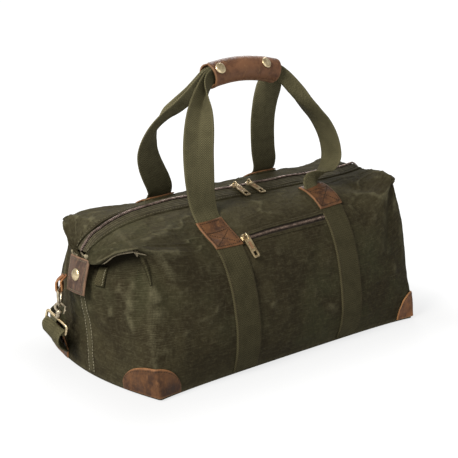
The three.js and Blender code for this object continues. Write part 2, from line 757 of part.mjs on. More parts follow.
function addGrip() {
  for (const side of ["front", "back"]) {
    const sign = SIGN[side];
    const section = new THREE.Shape();
    section.moveTo(0.4, -GRIP_RADIUS);
    section.absarc(0.4, 0, GRIP_RADIUS, -Math.PI / 2, Math.PI / 2, false);
    section.lineTo(0.4, SLOT_HALF_HEIGHT);
    section.lineTo(SLOT_DEPTH, SLOT_HALF_HEIGHT);
    section.lineTo(SLOT_DEPTH, -SLOT_HALF_HEIGHT);
    section.lineTo(0.4, -SLOT_HALF_HEIGHT);
    const wrap = new THREE.ExtrudeGeometry(section, {
      depth: 2 * GRIP_HALF_LENGTH,
      steps: 8,
      bevelEnabled: false,
      curveSegments: 12,
    });
    // The section's x runs across the split and its y along it; the sweep runs along the bag.
    const position = wrap.attributes.position;
    for (let i = 0; i < position.count; i++) {
      const x = position.getZ(i) - GRIP_HALF_LENGTH + GRIP_X;
      const outward = position.getX(i);
      const along = position.getY(i);
      const lean = SPLIT_LEAN;
      const y = sign * outward * Math.cos(lean) + along * Math.sin(lean);
      const z = -sign * outward * Math.sin(lean) + along * Math.cos(lean);
      position.setXYZ(i, x, y, z + gripZ(x));
    }
    add(`grip_wrap_${side}`, outwards(wrap), TAN);
  }
  for (const [hand, x] of [["left", -44], ["right", 28]]) {
    const profile = [[0, 0], [7, 0], [6.6, 1.2], [4, 2.2], [0, 2.6]];
    const stud = new THREE.LatheGeometry(profile.map(([r, h]) => new THREE.Vector2(r, h)), 20);
    stud.rotateX(Math.PI);
    stud.translate(0, -(GRIP_RADIUS + 1.1), 0);
    stud.rotateX(THREE.MathUtils.degToRad(-32));
    stud.translate(x, 0, gripZ(x));
    add(`grip_stud_${hand}`, outwards(stud), BRASS, 1);
  }
}

// ---- shoulder strap ------------------------------------------------------------------------------

// Route from the left ring to the right ring: round the back corners and loosely behind the bag.
const STRAP_HALF_ROUTE = [
  [-265.5, 52, 44],
  [-264, 66, 33],
  [-254, 84, 26],
  [-243, 102, 23],
  [-230, 122, 22],
  [-212, 140, 21.5],
  [-186, 150, 21.2],
  [-150, 168, 21.2],
  [-110, 196, 21.2],
  [-60, 222, 21.2],
];

function addStrap() {
  const left = STRAP_HALF_ROUTE.map((p) => vec(...p));
  const right = [...STRAP_HALF_ROUTE].reverse().map(([x, y, z]) => vec(-x, y, z));
  const curve = new THREE.CatmullRomCurve3([...left, ...right], false, "centripetal");
  const upright = (t) => {
    const end = THREE.MathUtils.smoothstep(0.5 - Math.abs(t - 0.5), 0, 0.12);
    return vec(0, (1 - end) * 0.95, 0.33 * (1 - end) + end);
  };
  const strip = ribbon(curve, upright, () => WEBBING_WIDTH, () => WEBBING_THICKNESS, 60);
  add("shoulder_strap", strip, OLIVE_WEB);

  const frame = new THREE.Shape();
  frame.moveTo(-8, -23);
  frame.lineTo(8, -23);
  frame.lineTo(8, 23);
  frame.lineTo(-8, 23);
  const window = new THREE.Path();
  window.moveTo(-4.6, -19.6);
  window.lineTo(-4.6, 19.6);
  window.lineTo(4.6, 19.6);
  window.lineTo(4.6, -19.6);
  frame.holes.push(window);
  const adjuster = new THREE.ExtrudeGeometry(frame, { depth: 2.4, bevelEnabled: false });
  adjuster.rotateX(Math.PI / 2);
  const t = 0.36;
  const at = curve.getPoint(t);
  const along = curve.getTangent(t);
  const angle = Math.atan2(along.y, along.x);
  adjuster.rotateZ(angle);
  const out = vec(Math.sin(angle), -Math.cos(angle), 0).negate();
  adjuster.translate(at.x + out.x * 4, at.y + out.y * 4, 23.3);
  add("strap_adjuster", outwards(adjuster), STEEL, 1);
}

// ---- assembly -----------------------------------------------------------------------------------

addShell();
addBandsAndPatches();
addCornerPatches();
addMainZip();
addPocket();
for (const [hand, sign] of [["left", -1], ["right", 1]]) {
  addEndTab(hand, sign);
  addEndRings(hand, sign);
}
addSideTab();
addHandle("front");
addHandle("back");
addGrip();
addStrap();

export default bag;
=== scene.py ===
"""Weekender bag: canvas, webbing, leather and brass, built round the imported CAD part.

Lengths are millimetres in the shared frame until a mesh is made; +X is the bag's right, -Y its front, +Z up.
"""

import math

import bmesh
import bpy
import numpy as np
from mathutils import Matrix, Vector


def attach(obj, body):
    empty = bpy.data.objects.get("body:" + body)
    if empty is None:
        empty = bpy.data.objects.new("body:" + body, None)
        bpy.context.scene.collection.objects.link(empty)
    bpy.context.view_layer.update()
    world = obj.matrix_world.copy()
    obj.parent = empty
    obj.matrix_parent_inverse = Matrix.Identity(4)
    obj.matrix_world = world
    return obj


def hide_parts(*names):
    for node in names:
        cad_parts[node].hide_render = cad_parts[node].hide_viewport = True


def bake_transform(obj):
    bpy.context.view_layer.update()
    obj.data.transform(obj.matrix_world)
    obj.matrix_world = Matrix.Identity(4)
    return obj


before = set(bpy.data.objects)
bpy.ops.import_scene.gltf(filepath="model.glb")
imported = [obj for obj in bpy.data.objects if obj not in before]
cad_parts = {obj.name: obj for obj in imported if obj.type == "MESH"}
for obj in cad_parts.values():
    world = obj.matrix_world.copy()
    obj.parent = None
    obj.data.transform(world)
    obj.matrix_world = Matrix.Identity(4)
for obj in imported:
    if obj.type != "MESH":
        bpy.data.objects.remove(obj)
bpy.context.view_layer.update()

MM = 0.001
TAU = 2 * math.pi

# ---- small maths


def arr(*v):
    return np.array(v, float)


def unit(v):
    v = np.asarray(v, float)
    return v / np.maximum(np.linalg.norm(v, axis=-1, keepdims=True), 1e-9)


def smooth(x, lo=0.0, hi=1.0):
    t = np.clip((np.asarray(x, float) - lo) / (hi - lo), 0, 1)
    return t * t * (3 - 2 * t)


def hash01(i, j, seed):
    """Repeatable values from 0 to 1 on a whole-number grid."""
    n = np.sin(i * 127.1 + j * 311.7 + seed * 74.7) * 43758.5453
    return n - np.floor(n)


def noise2(x, y, seed=0):
    """Smooth value noise from -1 to 1."""
    x, y = np.asarray(x, float), np.asarray(y, float)
    i, j = np.floor(x), np.floor(y)
    u, v = x - i, y - j
    u, v = u * u * (3 - 2 * u), v * v * (3 - 2 * v)
    a = hash01(i, j, seed) * (1 - u) + hash01(i + 1, j, seed) * u
    b = hash01(i, j + 1, seed) * (1 - u) + hash01(i + 1, j + 1, seed) * u
    return 2 * (a * (1 - v) + b * v) - 1


def cubic(t, a, b, slope_a, slope_b):
    """Cubic from a to b with these slopes at its ends."""
    start, stop = 2 * t**3 - 3 * t**2 + 1, 3 * t**2 - 2 * t**3
    return start * a + (t**3 - 2 * t**2 + t) * slope_a + stop * b + (t**3 - t**2) * slope_b


def spline(points, count, closed=False, steps=24):
    """Centripetal curve through points (rows of any width), evenly spaced along its length."""
    p = np.asarray(points, float)
    if closed:
        p = np.vstack([p[-1:], p, p[:2]])
    else:
        p = np.vstack([2 * p[0] - p[1], p, 2 * p[-1] - p[-2]])
    d = np.maximum(np.linalg.norm(np.diff(p[:, :3], axis=0), axis=1), 1e-6) ** 0.5
    out = []
    t = np.linspace(0, 1, steps, endpoint=False)[:, None]
    for k in range(1, len(p) - 2):
        before, here, after = ((p[i + 1] - p[i]) / d[i] for i in (k - 1, k, k + 1))
        m1 = d[k] * (before - (p[k + 1] - p[k - 1]) / (d[k - 1] + d[k]) + here)
        m2 = d[k] * (here - (p[k + 2] - p[k]) / (d[k] + d[k + 1]) + after)
        out.append(cubic(t, p[k], p[k + 1], m1, m2))
    fine = np.vstack(out + [p[-2][None]])
    s = np.concatenate([[0], np.cumsum(np.linalg.norm(np.diff(fine[:, :3], axis=0), axis=1))])
    at = np.linspace(0, s[-1], count, endpoint=not closed)
    return np.stack([np.interp(at, s, fine[:, c]) for c in range(p.shape[1])], 1)


def length_along(p):
    return np.concatenate([[0], np.cumsum(np.linalg.norm(np.diff(p, axis=0), axis=1))])


def at_length(at, s, rows):
    """The row of three that lies at a length along a path; s holds each row's own length."""
    return arr(*[np.interp(at, s, rows[:, c]) for c in range(3)])


def square_to(w, t):
    """Unit directions nearest w that stand square to t, one per row."""
    return unit(w - t * np.sum(w * t, 1, keepdims=True))


def tangents(p, closed=False):
    if closed:
        return unit(np.roll(p, -1, 0) - np.roll(p, 1, 0))
    return unit(np.gradient(p, axis=0))


# ---- meshes

COLLECTION = bpy.context.scene.collection


def make(name, verts, faces, material, uv=None, flat=False):
    """A mesh object from millimetre vertices; uv is one pair per vertex, in millimetres of cloth."""
    me = bpy.data.meshes.new(name)
    me.from_pydata((np.asarray(verts, float) * MM).tolist(), [], [list(map(int, f)) for f in faces])
    if uv is not None:
        layer = me.uv_layers.new(name="cloth")
        index = np.zeros(len(me.loops), np.int32)
        me.loops.foreach_get("vertex_index", index)
        layer.data.foreach_set("uv", (np.asarray(uv, float)[index] * MM).ravel())
    if not flat:
        me.polygons.foreach_set("use_smooth", [True] * len(me.polygons))
    me.materials.append(material)
    obj = bpy.data.objects.new(name, me)
    COLLECTION.objects.link(obj)
    return obj


def outward(obj):
    """Turns a closed mesh's faces outwards."""
    bm = bmesh.new()
    bm.from_mesh(obj.data)
    bmesh.ops.recalc_face_normals(bm, faces=bm.faces)
    bm.to_mesh(obj.data)
    bm.free()
    return obj


def grid_faces(rows, cols, wrap_rows=False, wrap_cols=False, base=0):
    r = np.arange(rows if wrap_rows else rows - 1)
    c = np.arange(cols if wrap_cols else cols - 1)
    i, j = np.meshgrid(r, c, indexing="ij")
    i2, j2 = (i + 1) % rows, (j + 1) % cols
    return (np.stack([i * cols + j, i2 * cols + j, i2 * cols + j2, i * cols + j2], -1).reshape(-1, 4) + base).tolist()


def caps(rings, sides):
    """The two end faces of a tube of rings."""
    return [list(range(sides))[::-1], list(range((rings - 1) * sides, rings * sides))]


def rim_faces(rows, cols):
    """Quads that join a grid's rim to the rim of the same grid laid below it."""
    count = rows * cols
    index = np.arange(count).reshape(rows, cols)
    rim = np.concatenate([index[:-1, 0], index[-1, :-1], index[:0:-1, -1], index[0, :0:-1]])
    return [[i, i + count, j + count, j] for i, j in zip(rim, np.roll(rim, -1))]


def tube_mesh(name, centre, side, up, section, material, closed=False):
    """Sweeps a closed section (pairs along side and up, maybe one set per ring) along rings."""
    n = len(centre)
    section = np.asarray(section, float)
    if section.ndim == 2:
        section = np.repeat(section[None], n, 0)
    m = section.shape[1]
    v = centre[:, None] + section[..., :1] * side[:, None] + section[..., 1:2] * up[:, None]
    faces = grid_faces(n, m, wrap_rows=closed, wrap_cols=True)
    if not closed:
        faces += caps(n, m)
    along = length_along(centre)
    uv = np.stack([section[..., 0], np.repeat(along[:, None], m, 1)], -1).reshape(-1, 2)
    return outward(make(name, v.reshape(-1, 3), faces, material, uv))


def rounded_section(width, thickness, corner=0.45, per_side=6):
    """Flat strip section with rounded edges: points round the strip."""
    r = thickness * corner
    xs = np.linspace(-width / 2 + r, width / 2 - r, per_side + 1)

    def bend(sx, sy, angles):
        inset = [(r * (1 - math.sin(a)), r * (1 - math.cos(a))) for a in angles]
        return [(sx * (width / 2 - x), sy * (thickness / 2 - y)) for x, y in inset]

    out, back = (0.6, 1.2), (1.2, 0.6)
    right = bend(1, 1, out) + bend(1, -1, back)
    left = bend(-1, -1, out) + bend(-1, 1, back)
    return np.array([(x, thickness / 2) for x in xs] + right + [(x, -thickness / 2) for x in xs[::-1]] + left)


def wire(name, points, radius, material, closed=True, sides=14, count=None, spacing=1.2):
    """Round wire along points; radius may be one number or one per ring."""
    p = np.asarray(points, float)
    total = length_along(np.vstack([p, p[:1]]) if closed else p)[-1]
    count = count or max(12, int(total / spacing))
    p = spline(p, count, closed)
    t = tangents(p, closed)
    ref = arr(0.3, 0.2, 0.93)
    side = unit(np.cross(t, np.broadcast_to(ref, t.shape)))
    up = np.cross(side, t)
    a = np.linspace(0, TAU, sides, endpoint=False)
    ring = np.stack([np.cos(a), np.sin(a)], 1)
    radius = np.broadcast_to(np.asarray(radius, float), (count,))
    return tube_mesh(name, p, side, up, ring[None] * radius[:, None, None], material, closed)


def lathe(name, profile, centre, axis, material, turns=36):
    """Turned piece: profile pairs (radius, height) along axis from centre."""
    axis = unit(arr(*axis))
    side = unit(np.cross(axis, arr(0.12, 0.31, 0.94) if abs(axis[2]) < 0.9 else arr(1, 0, 0)))
    up = np.cross(axis, side)
    a = np.linspace(0, TAU, turns, endpoint=False)
    v = []
    for r, h in profile:
        r = max(r, 0.02)
        v.append(arr(*centre) + axis * h + r * (np.cos(a)[:, None] * side + np.sin(a)[:, None] * up))
    v = np.array(v)
    faces = grid_faces(len(profile), turns, wrap_cols=True)
    faces += caps(len(profile), turns)
    return outward(make(name, v.reshape(-1, 3), faces, material))


def joined(name, objs):
    """Joins meshes into the first one and names the result."""
    bpy.ops.object.select_all(action="DESELECT")
    for o in objs:
        o.select_set(True)
    bpy.context.view_layer.objects.active = objs[0]
    if len(objs) > 1:
        bpy.ops.object.join()
    objs[0].name = name
    return objs[0]


def bevelled(obj, width=0.4, segments=2, angle=35):
    m = obj.modifiers.new("edges", "BEVEL")
    m.width, m.segments, m.limit_method, m.angle_limit = width * MM, segments, "ANGLE", math.radians(angle)
    return obj


def stitches(name, path, normal, material, length=3.0, pitch=4.6, radius=0.42, lift=0.15):
    """A row of thread stitches along path; normal points off the cloth, one per path point."""
    path, normal = np.asarray(path, float), np.asarray(normal, float)
    s = length_along(path)
    count = int(s[-1] / pitch)
    a = np.linspace(0, TAU, 6, endpoint=False)
    verts, faces = [], []
    for k in range(count):
        mid = (k + 0.5) * pitch
        rings = []
        for j, (f, r) in enumerate(((-0.5, 0.35), (-0.32, 1), (0.32, 1), (0.5, 0.35))):
            at = mid + f * length
            p = at_length(at, s, path)
            nrm = unit(at_length(at, s, normal))
            q = at_length(at + 0.5, s, path) - at_length(at - 0.5, s, path)
            side = unit(np.cross(unit(q), nrm))
            dip = 0 if 0 < j < 3 else -radius * 1.2
            centre = p + nrm * (lift + dip)
            rings.append(centre + radius * r * (np.cos(a)[:, None] * side + np.sin(a)[:, None] * nrm * 0.75))
        base = len(verts) * 24
        verts.append(np.vstack(rings))
        faces += grid_faces(4, 6, wrap_cols=True, base=base)
        faces += [[base + i for i in range(5, -1, -1)], [base + 18 + i for i in range(6)]]
    return outward(make(name, np.vstack(verts), faces, material))


# ---- materials


class Shader:
    """A node tree built by short calls; every socket value is set directly."""

    def __init__(self, name):
        self.material = bpy.data.materials.new(name)
        self.material.use_nodes = True
        self.tree = self.material.node_tree
        self.tree.nodes.clear()
        self.out = self.tree.nodes.new("ShaderNodeOutputMaterial")
        self.bsdf = self.tree.nodes.new("ShaderNodeBsdfPrincipled")
        self.tree.links.new(self.bsdf.outputs[0], self.out.inputs["Surface"])

    def node(self, kind, inputs=None, **settings):
        n = self.tree.nodes.new("ShaderNode" + kind)
        for key, value in settings.items():
            setattr(n, key, value)
        for key, value in (inputs or {}).items():
            self.set(n.inputs[key], value)
        return n

    def set(self, socket, value):
        if isinstance(value, bpy.types.NodeSocket):
            self.tree.links.new(value, socket)
        else:
            socket.default_value = value

    def bsdf_set(self, **values):
        for key, value in values.items():
            self.set(self.bsdf.inputs[key.replace("_", " ")], value)

    def cloth(self):
        return self.node("UVMap", uv_map="cloth").outputs[0]

    def place(self):
        return self.node("TexCoord").outputs["Object"]

    def scaled(self, vector, x, y, z=1.0):
        return self.node("Mapping", {"Vector": vector, "Scale": (x, y, z)}).outputs[0]

    def noise(self, vector, scale, detail=3.0, rough=0.55):
        n = self.node("TexNoise", {"Vector": vector, "Scale": scale, "Detail": detail, "Roughness": rough})
        return n.outputs[0]

    def math(self, op, a, b=0.0, clamp=False):
        n = self.node("Math", operation=op, use_clamp=clamp)
        self.set(n.inputs[0], a)
        self.set(n.inputs[1], b)
        return n.outputs[0]

    def ramp(self, value, lo, hi, to_lo=0.0, to_hi=1.0):
        n = self.node(
            "MapRange",
            {"Value": value, "From Min": lo, "From Max": hi, "To Min": to_lo, "To Max": to_hi},
            interpolation_type="SMOOTHSTEP",
        )
        return n.outputs[0]

    def mix(self, factor, a, b):
        n = self.node("Mix", data_type="RGBA")
        self.set(n.inputs[0], factor)
        self.set(n.inputs[6], a)
        self.set(n.inputs[7], b)
        return n.outputs[2]

    def attribute(self, name):
        return self.node("Attribute", attribute_name=name).outputs["Fac"]

    def bump(self, height, strength, distance, before=None):
        n = self.node("Bump", {"Height": height, "Strength": strength, "Distance": distance})
        if before is not None:
            self.set(n.inputs["Normal"], before)
        return n.outputs[0]


def rgb(r, g, b):
    return (r, g, b, 1.0)


def wave(s, vector, direction, scale, distortion=0.0):
    return s.node(
        "TexWave",
        {"Vector": vector, "Scale": scale, "Distortion": distortion, "Detail": 0.0},
        bands_direction=direction,
    ).outputs["Fac"]


def canvas_material(name, dark, mid, light):
    """Waxed canvas: mottled, paler where 'wear' is above nought, darkened with painted shade where it is below, finely
    woven.
    """
    s = Shader(name)
    cloth, place = s.cloth(), s.place()
    broad = s.noise(place, 22.0, 4.0, 0.6)
    mottle = s.noise(place, 210.0, 5.0, 0.75)
    grain = s.noise(s.scaled(cloth, 1.0, 1.0), 900.0, 2.0, 0.6)
    slub = s.noise(s.scaled(cloth, 60.0, 800.0), 1.0, 2.0, 0.6)
    warp = s.noise(s.scaled(cloth, 800.0, 60.0), 1.0, 2.0, 0.6)
    weave = s.math("ADD", wave(s, cloth, "X", 200.0), wave(s, cloth, "Y", 200.0))
    # The wax goes from brown to green in large patches.
    drift = s.ramp(s.noise(place, 7.0, 2.0, 0.5), 0.4, 0.62)
    mid = s.mix(drift, mid, rgb(mid[0] * 0.88, mid[1] * 1.04, mid[2] * 1.0))
    colour = s.mix(s.ramp(broad, 0.38, 0.66), dark, mid)
    colour = s.mix(s.math("MULTIPLY", s.ramp(mottle, 0.42, 0.75), 0.36), colour, light)
    colour = s.mix(s.math("MULTIPLY", s.ramp(slub, 0.48, 0.75), 0.34), colour, light)
    colour = s.mix(s.math("MULTIPLY", s.ramp(warp, 0.5, 0.75), 0.45), colour, dark)
    colour = s.mix(s.math("MULTIPLY", s.ramp(grain, 0.5, 0.8), 0.4), colour, dark)
    wear_and_painted_shade = s.attribute("wear")
    wear = s.math("MULTIPLY", wear_and_painted_shade, s.ramp(mottle, 0.3, 0.62, 0.35, 1.0), clamp=True)
    colour = s.mix(wear, colour, light)
    # Painted shade: below nought the attribute mixes the canvas towards near black, in place of shadow.
    colour = s.mix(s.ramp(wear_and_painted_shade, -0.8, 0.0, 0.95, 0.0), colour, rgb(0.005, 0.0037, 0.002))
    colour = s.mix(s.ramp(weave, 0.2, 1.6, 0.45, 0.0), colour, rgb(0.012, 0.01, 0.006))
    fine = s.bump(weave, 0.7, 0.0004)
    rough = s.bump(s.noise(place, 300.0, 4.0, 0.7), 0.6, 0.0008, fine)
    normal = s.bump(s.noise(place, 60.0, 3.0, 0.5), 0.5, 0.0014, rough)
    s.bsdf_set(Base_Color=colour, Roughness=s.ramp(mottle, 0.3, 0.7, 0.62, 0.86), Normal=normal)
    s.bsdf_set(Specular_IOR_Level=0.03)
    return s.material


def webbing_material(name, dark, light):
    """Herringbone cotton webbing; cloth x runs across the strap and y along it, both in metres."""
    s = Shader(name)
    cloth, place = s.cloth(), s.place()
    parts = s.node("SeparateXYZ", {"Vector": cloth})
    across, along = parts.outputs[0], parts.outputs[1]
    fold = s.math("PINGPONG", s.math("ADD", across, 0.5), 0.0048)
    twill = s.math("ADD", s.math("MULTIPLY", fold, 1.5), along)
    ribs = s.math("SINE", s.math("MULTIPLY", twill, TAU / 0.0029))
    yarn = s.math("SINE", s.math("MULTIPLY", across, TAU / 0.0022))
    edge = s.ramp(s.math("ABSOLUTE", across), 0.0155, 0.0178)
    dirt = s.noise(place, 70.0, 4.0, 0.6)
    colour = s.mix(s.ramp(ribs, -1.0, 1.0), dark, light)
    colour = s.mix(s.math("MULTIPLY", s.ramp(dirt, 0.4, 0.7), 0.4), colour, dark)
    colour = s.mix(s.math("MULTIPLY", edge, 0.3), colour, light)
    height = s.math("ADD", s.math("MULTIPLY", ribs, 0.6), s.math("MULTIPLY", yarn, 0.4))
    normal = s.bump(height, 0.5, 0.0004, s.bump(dirt, 0.2, 0.001))
    s.bsdf_set(Base_Color=colour, Roughness=0.85, Normal=normal, Specular_IOR_Level=0.05)
    return s.material


def leather_material(name, dark, mid, light, gloss=0.45):
    """Oiled leather: cloudy pull-up colour, pale where 'wear' marks an edge, fine grain."""
    s = Shader(name)
    place = s.place()
    cloud = s.noise(place, 45.0, 5.0, 0.65)
    scuff = s.noise(s.scaled(place, 1.0, 1.0, 0.35), 260.0, 4.0, 0.7)
    pores = s.node("TexVoronoi", {"Vector": place, "Scale": 900.0}).outputs["Distance"]
    colour = s.mix(s.ramp(cloud, 0.35, 0.62), dark, mid)
    colour = s.mix(s.math("MULTIPLY", s.ramp(scuff, 0.5, 0.78), 0.55), colour, light)
    wear = s.math("MULTIPLY", s.attribute("wear"), s.ramp(scuff, 0.25, 0.6, 0.4, 1.0), clamp=True)
    colour = s.mix(wear, colour, light)
    normal = s.bump(pores, 0.25, 0.0003, s.bump(cloud, 0.35, 0.0012))
    s.bsdf_set(Base_Color=colour, Roughness=s.ramp(scuff, 0.3, 0.7, gloss, gloss + 0.25), Normal=normal)
    s.bsdf_set(Specular_IOR_Level=0.2)
    return s.material


def metal_material(name, bright, dark, roughness=0.3):
    s = Shader(name)
    place = s.place()
    tarnish = s.noise(place, 160.0, 5.0, 0.7)
    scratch = s.noise(s.scaled(place, 1.0, 1.0, 8.0), 400.0, 2.0, 0.5)
    colour = s.mix(s.ramp(tarnish, 0.36, 0.62), dark, bright)
    s.bsdf_set(Base_Color=colour, Metallic=1.0, Normal=s.bump(scratch, 0.12, 0.0003))
    s.bsdf_set(Roughness=s.ramp(tarnish, 0.3, 0.7, roughness + 0.2, roughness))
    return s.material


def plain_material(name, colour, other, scale=200.0, roughness=0.8, ribs=None):
    """Thread, tape, lining and board: two close colours, and ribs across cloth x where asked."""
    s = Shader(name)
    n = s.noise(s.place(), scale, 3.0, 0.6)
    base = s.mix(s.ramp(n, 0.35, 0.65), colour, other)
    if ribs:
        rib = wave(s, s.cloth(), "X", ribs)
        base = s.mix(s.ramp(rib, 0.2, 0.8, 0.65, 0.0), base, rgb(*(0.3 * c for c in colour[:3])))
        s.bsdf_set(Normal=s.bump(rib, 0.8, 0.0006))
    else:
        s.bsdf_set(Normal=s.bump(n, 0.3, 0.0004))
    s.bsdf_set(Base_Color=base, Roughness=roughness, Specular_IOR_Level=0.1)
    return s.material


CANVAS = canvas_material(
    "canvas", rgb(0.021, 0.0162, 0.0082), rgb(0.035, 0.0288, 0.0142), rgb(0.097, 0.087, 0.05)
)
WEBBING = webbing_material("webbing", rgb(0.025, 0.022, 0.011), rgb(0.09, 0.08, 0.042))
# A lighter copy of the same webbing for the back handle: painted light, since its faces towards the camera get little
# lamp light.
BACK_WEBBING_PAINTED_LIGHT = webbing_material("back_webbing_painted_light", rgb(0.034, 0.03, 0.0155), rgb(0.122, 0.109, 0.06))
BAND_WEBBING = webbing_material("band_webbing", rgb(0.017, 0.0148, 0.007), rgb(0.058, 0.05, 0.0255))
LEATHER = leather_material("leather", rgb(0.027, 0.0115, 0.005), rgb(0.08, 0.034, 0.012), rgb(0.2, 0.092, 0.036))
GRIP_LEATHER = leather_material(
    "grip_leather", rgb(0.055, 0.022, 0.01), rgb(0.125, 0.055, 0.025), rgb(0.25, 0.14, 0.065)
)
TAN_LEATHER = leather_material(
    "tan_leather", rgb(0.07, 0.026, 0.008), rgb(0.155, 0.06, 0.02), rgb(0.28, 0.135, 0.052)
)
DARK_LEATHER = leather_material(
    "dark_leather", rgb(0.028, 0.016, 0.011), rgb(0.062, 0.037, 0.026), rgb(0.18, 0.105, 0.062)
)
BRASS = metal_material("brass", rgb(0.5, 0.385, 0.22), rgb(0.19, 0.135, 0.07), 0.27)
BRIGHT_BRASS = metal_material("bright_brass", rgb(0.66, 0.54, 0.34), rgb(0.34, 0.26, 0.145), 0.24)
STEEL = metal_material("steel", rgb(0.5, 0.43, 0.31), rgb(0.2, 0.165, 0.11), 0.3)
TEETH = metal_material("teeth", rgb(0.34, 0.255, 0.215), rgb(0.13, 0.095, 0.075), 0.4)
POCKET_TEETH = metal_material("pocket_teeth", rgb(0.17, 0.125, 0.1), rgb(0.075, 0.054, 0.042), 0.45)
TAPE = plain_material("zip_tape", rgb(0.04, 0.034, 0.019), rgb(0.066, 0.057, 0.032), ribs=120.0)
POCKET_TAPE = plain_material("pocket_zip_tape", rgb(0.014, 0.01, 0.007), rgb(0.024, 0.018, 0.012), ribs=170.0)
THREAD = plain_material("thread", rgb(0.085, 0.076, 0.046), rgb(0.14, 0.126, 0.08), 900.0)
PALE_THREAD = plain_material("pale_thread", rgb(0.2, 0.18, 0.12), rgb(0.28, 0.255, 0.175), 900.0)
DARK_THREAD = plain_material("dark_thread", rgb(0.016, 0.01, 0.006), rgb(0.034, 0.023, 0.014), 900.0)
LINING = plain_material("lining", rgb(0.2, 0.17, 0.11), rgb(0.25, 0.21, 0.14), 300.0)
BOARD = plain_material("board", rgb(0.03, 0.027, 0.022), rgb(0.05, 0.044, 0.036))
INLAY = leather_material("inlay", rgb(0.13, 0.07, 0.034), rgb(0.23, 0.135, 0.07), rgb(0.34, 0.22, 0.125))

# ---- stage

LENS, SENSOR_WIDTH = 78.6, 36.0
CAMERA_AT, CAMERA_PITCH, CAMERA_YAW = (-0.833, -0.956, 0.467), 75.6, -40.3
WORLD_STRENGTH = 0.62
camera_data = bpy.data.cameras.new("camera")
camera = bpy.data.objects.new("camera", camera_data)
COLLECTION.objects.link(camera)
camera_data.sensor_width, camera_data.lens = SENSOR_WIDTH, LENS
camera_data.clip_start, camera_data.clip_end = 0.05, 200.0
camera.location = CAMERA_AT
camera.rotation_euler = (math.radians(CAMERA_PITCH), 0, math.radians(CAMERA_YAW))
bpy.context.scene.camera = camera


def area_light(name, where, target, size, power, colour=(1, 1, 1)):
    data = bpy.data.lights.new(name, "AREA")
    data.shape, data.size, data.energy, data.color = "DISK", size, power, colour
    light = bpy.data.objects.new(name, data)
    light.location = where
    light.rotation_euler = (Vector(target) - Vector(where)).to_track_quat("-Z", "Y").to_euler()
    COLLECTION.objects.link(light)


area_light("key", (-1.9, -0.25, 1.7), (0, 0, 0.1), 0.9, 99, (1.0, 0.98, 0.94))
area_light("fill", (-0.6, -2.4, 1.0), (0, 0, 0.15), 1.8, 8, (1.0, 0.99, 0.96))
area_light("rim", (1.4, 1.6, 1.6), (0, 0, 0.15), 1.0, 30)

world = bpy.data.worlds.new("studio")
world.use_nodes = True
background = world.node_tree.nodes["Background"]
background.inputs["Color"].default_value = (1, 1, 1, 1)
background.inputs["Strength"].default_value = WORLD_STRENGTH
bpy.context.scene.world = world
bpy.context.scene.view_settings.view_transform = "Standard"

# White sweep of the studio, evenly bright, with a painted contact shadow: it glows a little less under the bag and
# close round it.
FOOT_HALF = (0.225, 0.1)  # half the bag's footprint, in metres
GLOW_IN_PAINTED_SHADOW, GLOW_FAR, PAINTED_SHADOW_SPREAD = 0.76, 1.0, 0.2
FLOOR_HALF, FLOOR_Z = 60000, -0.6
floor_shader = Shader("floor")
parts = floor_shader.node("SeparateXYZ", {"Vector": floor_shader.place()})
square = 0.0
for axis, half in enumerate(FOOT_HALF):
    beyond = floor_shader.math("SUBTRACT", floor_shader.math("ABSOLUTE", parts.outputs[axis]), half)
    beyond = floor_shader.math("MAXIMUM", beyond, 0.0)
    square = floor_shader.math("ADD", floor_shader.math("MULTIPLY", beyond, beyond), square)
# Painted contact shadow: the emission falls from the open floor's value to a lower one over and round the bag's
# footprint.
glow_with_painted_shadow = floor_shader.ramp(floor_shader.math("SQRT", square), 0.0, PAINTED_SHADOW_SPREAD, GLOW_IN_PAINTED_SHADOW, GLOW_FAR)
floor_shader.bsdf_set(Base_Color=rgb(0.1, 0.1, 0.1), Roughness=0.9, Specular_IOR_Level=0.0)
floor_shader.bsdf_set(Emission_Color=rgb(1, 1, 1), Emission_Strength=glow_with_painted_shadow)
floor = make(
    "floor",
    [(x * FLOOR_HALF, y * FLOOR_HALF, FLOOR_Z) for x, y in ((-1, -1), (1, -1), (1, 1), (-1, 1))],
    [(0, 1, 2, 3)],
    floor_shader.material,
)

# ---- shoulder strap: from ring to ring behind the bag

# Centre line of the right half, from its ring to near the middle.
STRAP_HALF = [
    (259.0, 43.0, 59.0),
    (264.5, 43.5, 53.5),
    (264.5, 45.5, 44.5),
    (259.0, 49.0, 37.5),
    (251.0, 55.0, 32.0),
    (242.5, 64.0, 30.0),
    (236.5, 76.0, 30.0),
    (232.0, 90.0, 30.5),
    (228.0, 104.0, 30.5),
    (221.0, 119.0, 30.0),
    (207.0, 134.0, 28.5),
    (186.0, 148.0, 26.0),
    (158.0, 165.0, 23.5),
    (118.0, 191.0, 21.6),
    (60.0, 220.0, 21.2),
]
STRAP_WIDTH, STRAP_THICKNESS = 38, 1.9
STRAP_TURN = (26, 84)  # lengths from each ring between which the strap turns upright


def strap_line(count):
    """Centre line and width direction of the strap, from the left ring to the right one."""
    half = [(-x, y, z) for x, y, z in STRAP_HALF]
    p = spline(half + [(-x, y, z) for x, y, z in half[::-1]], count)
    t = tangents(p)
    s = length_along(p)
    at_ring = 1 - smooth(np.minimum(s, s[-1] - s), *STRAP_TURN)
    w = unit(arr(0, 0.95, 0.33)) * at_ring[:, None] + arr(0, 0, 1) * (1 - at_ring)[:, None]
    return p, t, square_to(w, t)


def build_strap():
    p, t, w = strap_line(260)
    face = np.cross(w, t)
    strap = tube_mesh("shoulder_strap_webbing", p, w, face, rounded_section(STRAP_WIDTH, STRAP_THICKNESS), WEBBING)
    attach(strap, "bag")
    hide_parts("shoulder_strap")


build_strap()

# ---- the bag's skin
# Eight stations from the base to the zip, each given at the middle of the long side (y, z), at the left
# and right corners and at the ends (x, y, z). The left end has sagged, the right one stands fuller.

